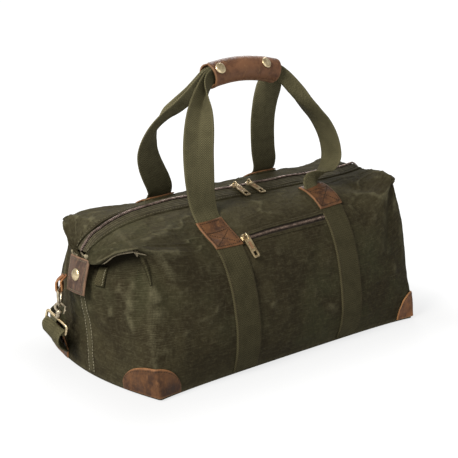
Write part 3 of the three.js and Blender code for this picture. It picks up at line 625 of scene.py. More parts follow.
CLIMB = np.array([0, 0.114, 0.237, 0.367, 0.494, 0.62, 0.833, 1.0])
CLIMB_LENGTH = 245.0
BAND_X = 89  # centre line of each webbing band
CORNER_X, END_LENGTH = 218.0, 112.0  # half the long side, and half an end, along the cloth
LONG_SHARE = 0.64  # the long side takes this much of run
HALF_GIRTH = CORNER_X + END_LENGTH
FOLD_STATION = 5  # the roof folds over the ends here
FOLD_AT = CLIMB[FOLD_STATION] * CLIMB_LENGTH
SEAM = 0.25
END_LINE = [
    (236.5, SEAM, 2.5), (237.5, SEAM, 30), (238.5, SEAM, 60), (243.5, SEAM, 88),
    (249, SEAM, 122), (247, SEAM, 149), (245, 6, 152), (243.5, 11, 155),
]
LEFT_FRONT = [
    (219, 113, 2.5), (220, 108, 30), (219, 100, 58), (216, 92, 98),
    (211, 87, 132), (222, 80, 171), (216, 44, 176), (210, 11.5, 178),
]
RIGHT_FRONT = [
    (216, 114, 2.5), (219, 107, 30), (219, 99, 58), (217, 91, 105),
    (213, 86, 150), (212, 77, 195), (209, 42, 199), (207, 11.5, 199),
]
LEFT_BACK = [
    (219, 113, 2.5), (220, 109, 30), (219, 104, 58), (217, 97, 100),
    (212, 90, 140), (222, 79, 181), (217, 46, 183), (210, 11.5, 181),
]
RIGHT_BACK = [
    (216, 114, 2.5), (219, 108, 30), (219, 103, 58), (217, 96, 104),
    (213, 89, 150), (213, 79, 196), (210, 44, 202), (207, 11.5, 200),
]
MIDDLE_FRONT = [
    (107, 2.5), (114.5, 28), (115.5, 58), (111, 90),
    (104, 120), (90, 151), (50, 185), (11.5, 193),
]
MIDDLE_BACK = [
    (107, 2.5), (114.5, 28), (115.5, 58), (114.5, 93),
    (110, 127), (96, 164), (55, 191), (11.5, 197),
]
SKIN = {
    "front": (np.array(MIDDLE_FRONT, float), np.array(LEFT_FRONT, float), np.array(RIGHT_FRONT, float), -1),
    "back": (np.array(MIDDLE_BACK, float), np.array(LEFT_BACK, float), np.array(RIGHT_BACK, float), 1),
}
END = np.array(END_LINE, float)


def bump_at(x, c, x0, c0, sx, sc):
    return np.exp(-(((x - x0) / sx) ** 2) - ((c - c0) / sc) ** 2)


def smooth_skin(side, run, v):
    """Points of the skin without its folds; run goes from the left end (-1) to the right end (1)."""
    middle, left, right, sign = SKIN[side]
    run, v = np.broadcast_arrays(np.asarray(run, float), np.asarray(v, float))
    run, v = np.clip(run, -1, 1), np.clip(v, 0, 1)
    share = np.abs(run)
    w = (run > 0)[..., None, None]
    corner = np.where(w, right, left)
    t = np.clip(share / LONG_SHARE, 0, 1)[..., None]
    turn = t**5
    long_side = np.stack(
        [
            t * corner[..., 0],
            middle[:, 0] + (corner[..., 1] - middle[:, 0]) * turn,
            middle[:, 1] + (corner[..., 2] - middle[:, 1]) * turn,
        ],
        -1,
    )
    q = np.clip((share - LONG_SHARE) / (1 - LONG_SHARE), 0, 1)[..., None]
    end = np.stack(
        [
            END[:, 0] + (corner[..., 0] - END[:, 0]) * (1 - q) ** 1.9,
            corner[..., 1] + (END[:, 1] - corner[..., 1]) * q,
            corner[..., 2] + (END[:, 2] - corner[..., 2]) * (1 - (1 - q) ** 1.15),
        ],
        -1,
    )
    p = np.where((share > LONG_SHARE)[..., None, None], end, long_side)
    # Through the stations by a cubic whose slope is cut at the fold edge, which stays crisp near the ends.
    d = np.diff(p, axis=-2) / np.diff(CLIMB)[:, None]
    slope = np.concatenate([d[..., :1, :], (d[..., 1:, :] + d[..., :-1, :]) / 2, d[..., -1:, :]], -2)
    crisp = smooth(share, 0.42, 0.66) * 0.75
    slope[..., FOLD_STATION, :] *= (1 - crisp)[..., None]
    k = np.clip(np.searchsorted(CLIMB, v, side="right") - 1, 0, 6)
    h = np.diff(CLIMB)[k]
    u = ((v - CLIMB[k]) / h)[..., None]
    take = lambda a, i: np.take_along_axis(a, i[..., None, None].repeat(3, -1), -2)[..., 0, :]
    out = cubic(u, take(p, k), take(p, k + 1), take(slope, k) * h[..., None], take(slope, k + 1) * h[..., None])
    x = np.where(run < 0, -out[..., 0], out[..., 0])
    y, z = out[..., 1], out[..., 2]
    c = v * CLIMB_LENGTH
    if side == "front":
        # The roof hangs in left of the left handle and stands up at the right one.
        z = z - 14 * bump_at(x, c, -108, 190, 62, 34) + 6.5 * bump_at(x, c, 108, 190, 60, 32)
        y = y - 5 * bump_at(x, c, -124, 150, 50, 34)
        # Its edge dips beside the left tab before it rises to the ear.
        z = z - 10 * (run < 0) * bump_at(q[..., 0], c, 0.66, 154, 0.24, 20)
    else:
        z = z - 6 * bump_at(x, c, -120, 205, 70, 40) + 6 * bump_at(x, c, 105, 190, 95, 44)
    y = np.maximum(y, SEAM)
    return np.stack([x, sign * y, z], -1)


def around(run):
    """Millimetres along the cloth from the middle of the long side."""
    share = np.abs(run)
    long_side = np.minimum(share, LONG_SHARE) / LONG_SHARE * CORNER_X
    end = np.maximum(share - LONG_SHARE, 0) / (1 - LONG_SHARE) * END_LENGTH
    return np.sign(run) * (long_side + end)


def crease(s, c, start, stop, width, depth):
    """A fold along a line on the cloth, deepest in its middle."""
    a, b = arr(*start), arr(*stop)
    d = b - a
    t = np.clip(((s - a[0]) * d[0] + (c - a[1]) * d[1]) / (d @ d), 0, 1)
    off = np.hypot(s - a[0] - t * d[0], c - a[1] - t * d[1])
    return depth * np.exp(-((off / width) ** 2)) * np.sin(np.pi * np.clip(t * 0.9 + 0.05, 0, 1)) ** 0.6


# Folds on the cloth: where from, where to (mm along the cloth, mm up it), width, depth (minus is a valley).
FOLDS = {
    "front": [
        ((-226, 146), (-236, 92), 9, -2.2), ((-238, 148), (-262, 108), 9, -1.6),
        ((-256, 146), (-286, 112), 9, -1.6), ((-247, 134), (-276, 90), 8, 1.4),
        ((-232, 136), (-252, 66), 10, 2.2), ((-272, 116), (-250, 60), 9, -2.0),
        ((-208, 140), (-194, 100), 10, -2.6), ((-200, 164), (-156, 152), 9, 2.4),
        ((-200, 172), (-132, 176), 10, -2.6), ((-205, 186), (-140, 204), 9, 2.2),
        ((-222, 190), (-170, 222), 8, -2.0), ((-214, 120), (-204, 52), 10, 1.8),
        ((-196, 100), (-150, 60), 12, -1.6), ((-190, 70), (-136, 88), 11, 1.4),
        ((-86, 196), (-40, 206), 9, -1.8), ((-84, 166), (-30, 128), 12, -1.6),
        ((-60, 140), (40, 132), 12, 1.2), ((-20, 100), (70, 84), 14, -1.3),
        ((-84, 96), (-20, 70), 12, 1.2), ((20, 60), (86, 40), 11, 1.0), ((86, 200), (60, 216), 8, -1.8),
        ((88, 150), (30, 112), 12, -1.4), ((132, 196), (204, 176), 9, -2.4),
        ((134, 176), (200, 152), 10, 2.0), ((206, 150), (176, 110), 9, -2.6),
        ((214, 140), (206, 70), 9, 1.8), ((196, 120), (140, 70), 13, -1.5),
        ((150, 130), (196, 50), 12, 1.2), ((226, 150), (240, 100), 7, -3.2),
        ((244, 146), (270, 110), 7, -2.8), ((262, 116), (246, 60), 9, 2.0),
    ],
    "back": [
        ((-226, 150), (-238, 98), 7, -3.4), ((-242, 146), (-268, 108), 7, -2.8),
        ((-250, 140), (-262, 70), 9, 2.2), ((-214, 150), (-180, 116), 9, -2.8),
        ((-204, 176), (-134, 180), 10, 2.2), ((-206, 190), (-150, 212), 9, -2.0),
        ((-190, 100), (-140, 60), 12, -1.6), ((-84, 170), (-30, 120), 12, -1.6),
        ((-60, 150), (60, 142), 12, 1.4), ((-30, 90), (70, 76), 13, -1.3),
        ((88, 160), (30, 110), 12, -1.5), ((132, 190), (204, 170), 9, -2.2),
        ((206, 150), (176, 104), 9, -2.6), ((190, 120), (140, 66), 13, -1.4),
        ((226, 150), (240, 98), 7, -3.0), ((244, 144), (268, 104), 7, -2.4),
    ],
}


def overhang(s, c, side):
    """The roof's edge hanging over each end: a lip on the fold line and a hollow pushed in under it."""
    below = FOLD_AT - c
    reach = np.abs(s)
    front = side == "front"
    deep = np.where(s < 0, 13.0 if front else 7.0, 3.5)
    amount = smooth(reach, 186, 232) * (1 - 0.7 * smooth(reach, 296, HALF_GIRTH))
    hollow = smooth(below, -2.0, 7.0) * np.exp(-((np.maximum(below - 8, 0) / 26) ** 2))
    roll = np.exp(-(((below + 7) / 11) ** 2)) * np.where(s < 0, 1.8 if front else 1.0, 0.8)
    tip = np.exp(-(((reach - CORNER_X) / 16) ** 2) - ((below + 2) / 19) ** 2)
    blunt = np.where(s < 0, 1.0 if front else 8.5, 6.0)
    return amount * (roll - deep * hollow) - blunt * tip


def relief(side, run, v):
    """Height of the folds above the smooth skin, with flat ground under what is sewn on."""
    s, c = around(run), np.asarray(v) * CLIMB_LENGTH
    seed = 3 if side == "front" else 11
    h = 1.5 * noise2(s / 58 + 9, c / 46, seed) + 0.9 * noise2(s / 27 + 4, c / 24 + 2, seed + 1)
    h = h + 0.45 * noise2(s / 12, c / 11, seed + 2) + 0.18 * noise2(s / 5.2, c / 5.2, seed + 3)
    for start, stop, width, depth in FOLDS[side]:
        h = h + crease(s, c, start, stop, width, depth)
    for k, (wide, tall, sharp, height) in enumerate(((38, 15, 0.13, 1.1), (19, 9, 0.16, 0.55))):
        line = np.exp(-((noise2(s / wide + 5, c / tall + 3, seed + 8 + k) / sharp) ** 2))
        h = h + height * line * (0.3 + 0.7 * smooth(c, 138, 168))
    # Stretched flat along seams and under the bands; puckered just beside them.
    flat = smooth(c, 0, 26) * smooth(CLIMB_LENGTH - c, 0, 22) * (0.35 + 0.65 * smooth(HALF_GIRTH - np.abs(s), 0, 22))
    band = np.minimum(np.abs(s - BAND_X), np.abs(s + BAND_X))
    flat = flat * (0.25 + 0.75 * smooth(band, 16, 40))
    if side == "front":
        pocket = np.maximum(np.abs(s) - 72, 0) + np.abs(c - 163)
        flat = flat * (0.2 + 0.8 * smooth(pocket, 10, 30))
    pucker = 0.42 * np.sin(s / 6.2 + 2.2 * noise2(s / 40, c / 200, seed + 5))
    pucker = pucker * (np.exp(-(((c - 7) / 6) ** 2)) + 0.8 * np.exp(-(((CLIMB_LENGTH - 17 - c) / 6) ** 2)))
    up = 0.4 * np.sin(c / 6.6 + 2 * noise2(c / 30, s / 200, seed + 6))
    h = h + overhang(s, c, side)
    beside = np.exp(-(((band - 25) / 6) ** 2)) + 1.3 * np.exp(-(((HALF_GIRTH - np.abs(s) - 14) / 9) ** 2))
    return h * flat + pucker + up * beside * smooth(c, 5, 30)


def skin_normal(side, run, v):
    e = 1.5e-3
    a = smooth_skin(side, run + e, v) - smooth_skin(side, run - e, v)
    b = smooth_skin(side, run, np.clip(v + e, 0, 1)) - smooth_skin(side, run, np.clip(v - e, 0, 1))
    n = np.cross(a, b)
    return unit(n if side == "front" else -n)


def skin(side, run, v, lift=0.0):
    """Points of the folded skin, lifted off it by lift."""
    run, v = np.broadcast_arrays(np.asarray(run, float), np.asarray(v, float))
    n = skin_normal(side, run, v)
    return smooth_skin(side, run, v) + n * (relief(side, run, v) + lift)[..., None]


def run_at(side, x, v):
    """Run at which the long side is at this x."""
    x, v = np.broadcast_arrays(np.asarray(x, float), np.asarray(v, float))
    run = x / CORNER_X * LONG_SHARE
    for _ in range(3):
        px = smooth_skin(side, run, v)[..., 0]
        run = run * np.where(np.abs(px) > 1, x / np.where(np.abs(px) > 1, px, 1), 1)
    return run


def climb_at(side, x, z):
    """Climb at which the long side at x reaches this height."""
    v = np.linspace(0, 1, 400)
    return float(np.interp(z, smooth_skin(side, run_at(side, np.full(400, float(x)), v), v)[:, 2], v))


def set_attribute(obj, name, values):
    attribute = obj.data.attributes.new(name, "FLOAT", "POINT")
    attribute.data.foreach_set("value", np.asarray(values, np.float32).ravel())


def build_panel(side, columns=420, rows=190):
    run, v = np.meshgrid(np.linspace(-1, 1, columns), np.linspace(0, 1, rows), indexing="ij")
    p = skin(side, run, v)
    p[..., 1] = SKIN[side][3] * np.maximum(SKIN[side][3] * p[..., 1], SEAM)
    s, c = around(run), v * CLIMB_LENGTH
    faces = grid_faces(columns, rows)
    if side == "back":
        faces = [f[::-1] for f in faces]
    panel = make(f"canvas_{side}", p.reshape(-1, 3), faces, CANVAS, np.stack([s, c], -1).reshape(-1, 2))
    # Rubbed pale on raised folds, along the fold edge at the ends, the zip edge and the base edge.
    r = relief(side, run, v)
    wide = np.pad(r, 7, mode="edge")
    high = r - 0.25 * (wide[:-14, 7:-7] + wide[14:, 7:-7] + wide[7:-7, :-14] + wide[7:-7, 14:])
    edge = np.exp(-(((c - FOLD_AT) / 5.5) ** 2)) * smooth(np.abs(s), 150, 215)
    wear = 0.7 * smooth(high, 0.25, 1.4) + 0.75 * edge + 0.35 * smooth(c, 150, 240)
    wear = wear + 0.3 * np.exp(-((c / 4.0) ** 2)) + 0.35 * np.exp(-(((np.abs(s) - 218) / 4.0) ** 2))
    # The ear's very tip and the canvas beside the end tab stay plain.
    tip = np.exp(-(((np.abs(s) - CORNER_X) / 12) ** 2) - ((c - FOLD_AT) / 14) ** 2)
    wear = wear * (1 - 0.75 * tip) * (1 - 0.9 * smooth(np.abs(s), 280, 305) * smooth(c, 125, 150))
    # Painted shade in the pocket under the left ear: wear is taken away there and the attribute goes below nought,
    # fully on the front and by half on the back.
    below = FOLD_AT - c
    ear_painted_shade = smooth(below, -1, 4) * np.exp(-((np.maximum(below, 0) / 20) ** 2)) * smooth(-s, 200, 230)
    wear = np.clip(wear, 0, 1) * (1 - ear_painted_shade) - ear_painted_shade * (1.0 if side == "front" else 0.5)
    # The 'wear' attribute holds rubbed wear above nought and painted shade below it.
    set_attribute(panel, "wear", wear)
    solid = panel.modifiers.new("cloth", "SOLIDIFY")
    solid.thickness, solid.offset = 1.3 * MM, -1
    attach(panel, "bag")
    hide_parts(f"{side}_panel")


def slab(name, place, na, nb, thickness, material, size, rim=0.8, rim_wear=1.0):
    """A sheet laid along place(a, b) -> (points, normals), with rounded, rubbed edges."""
    a, b = np.meshgrid(np.linspace(0, 1, na), np.linspace(0, 1, nb), indexing="ij")
    # Rows crowd towards the edges so that the rounding is smooth.
    a, b = 0.5 - 0.5 * np.cos(a * np.pi), 0.5 - 0.5 * np.cos(b * np.pi)
    a, b = 0.55 * a + 0.45 * np.linspace(0, 1, na)[:, None], 0.55 * b + 0.45 * np.linspace(0, 1, nb)[None]
    p, n = place(a, b)
    inward = np.minimum(np.minimum(a, 1 - a) * size[0], np.minimum(b, 1 - b) * size[1])
    h = thickness * (0.35 + 0.65 * np.sqrt(np.clip(1 - (1 - np.clip(inward / rim, 0, 1)) ** 2, 0, 1)))
    top = p + n * h[..., None]
    verts = np.vstack([top.reshape(-1, 3), p.reshape(-1, 3)])
    count = na * nb
    faces = grid_faces(na, nb) + [f[::-1] for f in grid_faces(na, nb, base=count)]
    faces += rim_faces(na, nb)
    uv = np.stack([(a - 0.5) * size[0], b * size[1]], -1).reshape(-1, 2)
    obj = make(name, verts, faces, material, np.vstack([uv, uv]))
    worn = rim_wear * np.exp(-((inward / (1.3 * rim)) ** 2))
    set_attribute(obj, "wear", np.concatenate([worn.ravel(), np.full(count, rim_wear)]))
    return outward(obj)


def on_side(side, x, width, low, high, lift, lean=0.0):
    """Place function for a strip on the long side, between two climbs, centred on x at the base.

    lean is how far it drifts along x on its way to climb 0.75.
    """

    def place(a, b):
        v = low + (high - low) * b
        run = run_at(side, x + (a - 0.5) * width + lean * (v / 0.75) ** 2, v)
        return skin(side, run, v, lift), skin_normal(side, run, v)

    return place


for each_side in ("front", "back"):
    build_panel(each_side)

HANDS = {"left": -1, "right": 1}
BAND_WIDTH, BAND_THICKNESS, BAND_LIFT = 38, 1.9, 0.2
BAND_FOOT = 0.004  # climb of each band's lower end
# Height at which each handle leaves its patch.
ROOT_Z = {("front", "left"): 176, ("front", "right"): 192, ("back", "left"): 187, ("back", "right"): 197}
# How far each band drifts along x on its way up.
BAND_LEAN = {("front", "left"): -6.0, ("front", "right"): -3.0, ("back", "left"): 0.0, ("back", "right"): 0.0}
PATCH_LENGTH = {("front", "left"): 52, ("front", "right"): 47, ("back", "left"): 48, ("back", "right"): 48}
PATCH_WIDTH, PATCH_THICKNESS, PATCH_MARGIN = 39.5, 1.9, 3.2
CROSS_TOP = 0.62  # share of the patch's height that its cross of stitches fills


def sewn_line(place, start, stop, count=60):
    """Points and normals on a placed surface along a straight line of its own coordinates."""
    t = np.linspace(0, 1, count)
    a = start[0] + (stop[0] - start[0]) * t
    b = start[1] + (stop[1] - start[1]) * t
    return place(a, b)


def box_lines(u, w):
    """A box of stitching set in by the shares u across and w along."""
    return [((u, w), (1 - u, w)), ((u, 1 - w), (1 - u, 1 - w)), ((u, w), (u, 1 - w)), ((1 - u, w), (1 - u, 1 - w))]


def thread(name, place, lines, lift, material, **kw):
    """Rows of stitches joined into one piece."""
    rows = []
    for k, (start, stop) in enumerate(lines):
        p, n = sewn_line(place, start, stop)
        rows.append(stitches(f"{name}_{k}", p + n * lift, n, material, **kw))
    obj = joined(name, rows)
    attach(obj, "bag")


def build_band(side, hand):
    x = HANDS[hand] * BAND_X
    top = climb_at(side, x, ROOT_Z[side, hand]) + BAND_FOOT
    lean = BAND_LEAN[side, hand]
    place = on_side(side, x, BAND_WIDTH, BAND_FOOT, top, BAND_LIFT, lean)
    size = (BAND_WIDTH, top * CLIMB_LENGTH)
    band = slab(f"band_{side}_{hand}", place, 17, 120, BAND_THICKNESS, BAND_WEBBING, size, 0.8, 0.0)
    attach(band, "bag")
    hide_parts(f"webbing_band_{side}_{hand}")
    edge = 2.4 / BAND_WIDTH
    tall = PATCH_LENGTH[side, hand]
    low = top - tall / CLIMB_LENGTH
    reach = low / top - 0.01
    lines = [((edge, 0.01), (edge, reach)), ((1 - edge, 0.01), (1 - edge, reach))]
    row = {"length": 2.6, "pitch": 3.6, "radius": 0.3}
    thread(f"band_thread_{side}_{hand}", place, lines, BAND_THICKNESS, DARK_THREAD, **row)
    place = on_side(side, x, PATCH_WIDTH, low, top - 0.006, BAND_LIFT + BAND_THICKNESS + 0.15, lean)
    size = (PATCH_WIDTH, tall - 1.5)
    patch = slab(f"patch_{side}_{hand}", place, 30, 34, PATCH_THICKNESS, LEATHER, size, 0.8, 0.6)
    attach(patch, "bag")
    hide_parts(f"handle_patch_{side}_{hand}")
    u, w = PATCH_MARGIN / PATCH_WIDTH, PATCH_MARGIN / tall
    cross = [((u, w), (1 - u, CROSS_TOP)), ((1 - u, w), (u, CROSS_TOP)), ((u, CROSS_TOP), (1 - u, CROSS_TOP))]
    row = {"length": 2.5, "pitch": 3.0, "radius": 0.52}
    thread(f"patch_thread_{side}_{hand}", place, box_lines(u, w) + cross, 1.8, DARK_THREAD, **row)


def build_corner_patch(side, hand):
    sign = HANDS[hand]
    front_reach, end_reach, height = 30.0, 52.0, 35.0

    def place(a, b):
        w = 2 * a - 1
        run = np.where(
            w > 0,
            LONG_SHARE * (1 - w * front_reach / CORNER_X),
            LONG_SHARE + (1 - LONG_SHARE) * (-w * end_reach / END_LENGTH),
        )
        top = (5 + (height - 5) * np.sqrt(np.clip(1 - np.abs(w) ** 2.1, 0, 1))) / CLIMB_LENGTH
        v = 0.001 + (top - 0.001) * b
        # One normal over the crease, so that the leather goes round it.
        n = unit(sum(skin_normal(side, sign * (run + d), v) for d in (-0.02, -0.01, 0, 0.01, 0.02)))
        return skin(side, sign * run, v) + n * 0.35, n

    leather = TAN_LEATHER if hand == "right" else LEATHER
    patch = slab(f"corner_{side}_{hand}", place, 60, 22, 2.0, leather, (89, 30), 0.9)
    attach(patch, "bag")
    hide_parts(f"corner_patch_{side}_{hand}")
    t = np.linspace(0.03, 0.97, 80)
    p, n = place(t, np.full(80, 0.9))
    row = stitches(f"corner_thread_{side}_{hand}", p + n * 1.85, n, DARK_THREAD, length=2.4, pitch=3.4, radius=0.36)
    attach(row, "bag")


for each_side in ("front", "back"):
    for each_hand in HANDS:
        build_band(each_side, each_hand)
        build_corner_patch(each_side, each_hand)

# ---- base


BASE_RUNS = 160  # points along each side of the base
BASE_RINGS = ((3, 0.25), (1.2, 0.3), (0.2, 1.2), (0.4, 3.2), (6, 3.4))  # inset and height
BOARD_HALF, BOARD_HEIGHTS = (200, 93), (9.5, 12.5)


def build_base():
    runs = np.concatenate([np.linspace(-1, 1, BASE_RUNS)[:-1], np.linspace(1, -1, BASE_RUNS)[:-1]])
    sides = ["front"] * (BASE_RUNS - 1) + ["back"] * (BASE_RUNS - 1)
    outline = np.array([smooth_skin(s, r, 0.0)[:2] for s, r in zip(sides, runs)])
    rings = []
    for inset, z in BASE_RINGS:
        scale = 1 - inset / np.linalg.norm(outline, axis=1, keepdims=True)
        rings.append(np.hstack([outline * scale, np.full((len(outline), 1), z)]))
    v = np.vstack(rings)
    n = len(outline)
    faces = grid_faces(len(rings), n, wrap_cols=True) + caps(len(rings), n)
    base = outward(make("base", v, faces, CANVAS, v[:, :2]))
    set_attribute(base, "wear", np.repeat([0, 0.3, 0.5, 0.3, 0], n))
    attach(base, "bag")
    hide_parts("base_panel")
    bx, by = BOARD_HALF
    board = make(
        "board",
        [(x, y, z) for z in BOARD_HEIGHTS for x, y in ((-bx, -by), (bx, -by), (bx, by), (-bx, by))],
        [(3, 2, 1, 0), (4, 5, 6, 7), (0, 1, 5, 4), (1, 2, 6, 5), (2, 3, 7, 6), (3, 0, 4, 7)],
        BOARD,
        flat=True,
    )
    bevelled(board, 1.2, 3)
    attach(board, "bag")
    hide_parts("base_board")


build_base()

# ---- main zip

ZIP_EDGE = 11.5  # from the zip's line to each folded edge of canvas
ZIP_REACH = 0.985  # how far the tapes and teeth run towards the tabs
LIP_REACH = 0.968


def ridge(run, y, lift=0.0):
    """Points and normals over the zip's line; run goes from the left tab to the right one."""
    run, y = np.broadcast_arrays(np.asarray(run, float), np.asarray(y, float))
    line = lambda r: (smooth_skin("front", r, 1.0) + smooth_skin("back", r, 1.0)) / 2
    peak = 5.2 * (1 - np.abs(run) ** 3) + 1.0
    t = unit(line(np.clip(run + 0.01, -1, 1)) - line(np.clip(run - 0.01, -1, 1)))
    n = np.stack([-t[..., 2], np.zeros_like(run), t[..., 0]], -1)
    p = line(run).copy()
    ripple = 0.35 * np.sin(run * 31) + 0.5 * noise2(run * 9, y * 0 + 2, 21)
    p[..., 1] = y + 0.9 * noise2(run * 4 + 7, y * 0, 22)
    lean = peak * (1 - np.clip(np.abs(y) / ZIP_EDGE, 0, 1.3))
    tilt = unit(n + np.sign(y)[..., None] * (np.abs(y) > 1.6)[..., None] * (peak / ZIP_EDGE)[..., None] * arr(0, 1, 0))
    return p + n * (lift + ripple + lean)[..., None], tilt


def ridge_strip(name, y0, y1, lift, thickness, material, reach=ZIP_REACH):
    """A strip of tape or cloth along the zip, between two distances from its line."""
    place = lambda a, b: ridge(-reach + 2 * reach * a, y0 + (y1 - y0) * b, lift)
    obj = slab(name, place, 300, 9, thickness, material, (530, abs(y1 - y0)), 0.4, 0.0)
    # Cloth y runs along the zip for the tape's ribs.
    uv = obj.data.uv_layers["cloth"]
    pairs = np.zeros(len(uv.data) * 2, np.float32)
    uv.data.foreach_get("uv", pairs)
    uv.data.foreach_set("uv", pairs.reshape(-1, 2)[:, ::-1].ravel())
    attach(obj, "bag")
    return obj


def teeth(name, line, normal, material, pitch, reach):
    """Two rows of closed metal teeth along a line."""
    s = length_along(line)
    count = int(s[-1] / pitch * 2)
    t = tangents(line)
    verts, faces = [], []
    for k in range(count):
        at = (k + 0.5) * pitch / 2
        row = 1 if k % 2 else -1
        p, tt, nn = at_length(at, s, line), unit(at_length(at, s, t)), unit(at_length(at, s, normal))
        side = unit(np.cross(tt, nn)) * row
        base = len(verts)
        for h in (-0.9, 0.75):
            narrow = 0.8 if h > 0 else 1.0
            for along, out in ((-0.5, reach), (0.5, reach), (0.62, 0.3), (0.45, -0.9), (-0.45, -0.9), (-0.62, 0.3)):
                verts.append(p + tt * along * narrow + side * (out * narrow) + nn * (h - 0.15 * abs(out - 0.5)))
        faces += [[base + i for i in range(5, -1, -1)], [base + 6 + i for i in range(6)]]
        faces += [[base + i, base + (i + 1) % 6, base + 6 + (i + 1) % 6, base + 6 + i] for i in range(6)]
    obj = outward(make(name, verts, faces, material, flat=True))
    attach(obj, "bag")
    return obj


def build_main_zip():
    for side, sign in (("front", -1), ("back", 1)):
        tape = ridge_strip(f"zip_tape_{side}", sign * 2.4, sign * 13.0, -0.6, 0.7, TAPE)
        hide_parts(f"main_zip_tape_{side}")
        facing = ridge_strip(f"zip_facing_{side}", sign * 12, sign * 24, -4.4, 0.8, CANVAS, 0.62)
        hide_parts(f"{side}_zip_facing")

        def lip(a, b, side=side):
            run = -LIP_REACH + 2 * LIP_REACH * a
            return skin(side, run, 1.004 - 0.034 * b, 0.25), skin_normal(side, run, 1.0 - 0.034 * b)

        edge = slab(f"zip_lip_{side}", lip, 320, 9, 1.5, CANVAS, (520, 8.3), 1.3, 0.25)
        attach(edge, "bag")
        t = np.linspace(0.012, 0.988, 300)
        p, n = lip(t, np.full(300, 0.7))
        row = stitches(f"zip_thread_{side}", p + n * 1.5, n, THREAD, length=2.8, pitch=4.2, radius=0.3)
        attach(row, "bag")
    t = np.linspace(-ZIP_REACH, ZIP_REACH, 400)
    line, normal = ridge(t, 0.0, 0.3)
    row = teeth("zip_teeth", line, normal, TEETH, 2.3, 2.0)
    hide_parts("main_zip_chain")


build_main_zip()


def frame_of(origin, right, toward, up):
    """Maps local millimetres (x along right, y along toward, z along up) into space."""
    m = np.stack([unit(arr(*right)), unit(arr(*toward)), unit(arr(*up))])
    o = arr(*origin)
    return lambda pts: np.asarray(pts, float) @ m + o


def prism(name, outline, z0, z1, to_space, material, bevel=0.35, holes=()):
    """Flat plate with an outline and holes, filled by Blender's own triangulation."""
    curve = bpy.data.curves.new(name, "CURVE")
    curve.dimensions, curve.fill_mode = "2D", "BOTH"
    curve.extrude = (z1 - z0) / 2 * MM
    curve.bevel_depth, curve.bevel_resolution = bevel * MM, 2
    for ring in (outline, *holes):
        s = curve.splines.new("POLY")
        s.points.add(len(ring) - 1)
        for pt, (x, y) in zip(s.points, ring):
            pt.co = (x * MM, y * MM, 0, 1)
        s.use_cyclic_u = True
    tmp = bpy.data.objects.new(name, curve)
    COLLECTION.objects.link(tmp)
    me = bpy.data.meshes.new_from_object(tmp.evaluated_get(bpy.context.evaluated_depsgraph_get()))
    bpy.data.objects.remove(tmp)
    co = np.zeros(len(me.vertices) * 3)
    me.vertices.foreach_get("co", co)
    co = co.reshape(-1, 3) / MM
    co[:, 2] += (z0 + z1) / 2
    me.vertices.foreach_set("co", (to_space(co) * MM).ravel())
    me.materials.clear()
    me.materials.append(material)
    me.polygons.foreach_set("use_smooth", [False] * len(me.polygons))
    me.update()
    obj = bpy.data.objects.new(name, me)
    COLLECTION.objects.link(obj)
    return obj


def rounded_rect(w, h, r, cx=0.0, cy=0.0, n=5):
    pts = []
    for qx, qy, a0 in ((1, 1, 0), (-1, 1, 90), (-1, -1, 180), (1, -1, 270)):
        for k in range(n + 1):
            a = math.radians(a0 + 90 * k / n)
            pts.append((cx + qx * (w / 2 - r) + r * math.cos(a), cy + qy * (h / 2 - r) + r * math.sin(a)))
    return pts


def build_slider(name, node, body, origin, travel, toward, up, pivot_rise):
    """Zip slider: a waisted body with a ridge, side flanges and an arched bail."""
    to = frame_of(origin, travel, toward, up)
    shape = [(6.0, 0), (5.6, 3.4), (3.0, 4.9), (0, 5.2), (-4.4, 3.9), (-5.6, 2.2), (-5.8, 0)]
    outline = shape + [(x, -y) for x, y in shape[-2:0:-1]]
    lower = prism(name, outline, 0.2, 1.5, to, BRIGHT_BRASS, 0.35)
    upper = prism(name + "_u", [(x * 0.86, y * 0.8) for x, y in outline], 1.5, 2.5, to, BRIGHT_BRASS, 0.4)
    arc = [(0, 3.5 * math.cos(a), pivot_rise + 3.5 * math.sin(a)) for a in np.linspace(0, math.pi, 14)]
    arc = [(0, 3.5, 1.8)] + arc + [(0, -3.5, 1.8)]
    bail = wire(name + "_b", to(arc), 0.8, BRIGHT_BRASS, closed=False, sides=10, spacing=0.6)
    obj = joined(name, [lower, upper, bail])
    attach(obj, body)
    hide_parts(node)


def build_pull(name, node, body, pivot, width_dir, along, up, length, width=9.6):
    """Long pull: a brass frame with an eye, an inlaid tan strip and an open slot at its tip."""
    to = frame_of(pivot, width_dir, along, up)
    start = -1.2
    middle = start + length / 2
    window = rounded_rect(4.4, 4.2, 1.0, 0, start + 4.0)
    inlay_length = length - 18.4
    inlay_mid = start + 7.6 + inlay_length / 2
    well = rounded_rect(width - 4.0, inlay_length, 0.7, 0, inlay_mid)
    slot = rounded_rect(width - 3.8, 6.2, 0.6, 0, start + length - 4.9)
    outline = rounded_rect(width, length, 2.0, 0, middle)
    plate = prism(name, outline, -0.55, 0.55, to, BRASS, 0.4, [window, well, slot])
    strip = rounded_rect(width - 3.8, inlay_length + 0.2, 0.7, 0, inlay_mid)
    inlay = prism(name + "_i", strip, -0.45, 0.4, to, INLAY, 0.1)
    obj = joined(name, [plate, inlay])
    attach(obj, body)
    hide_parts(node)


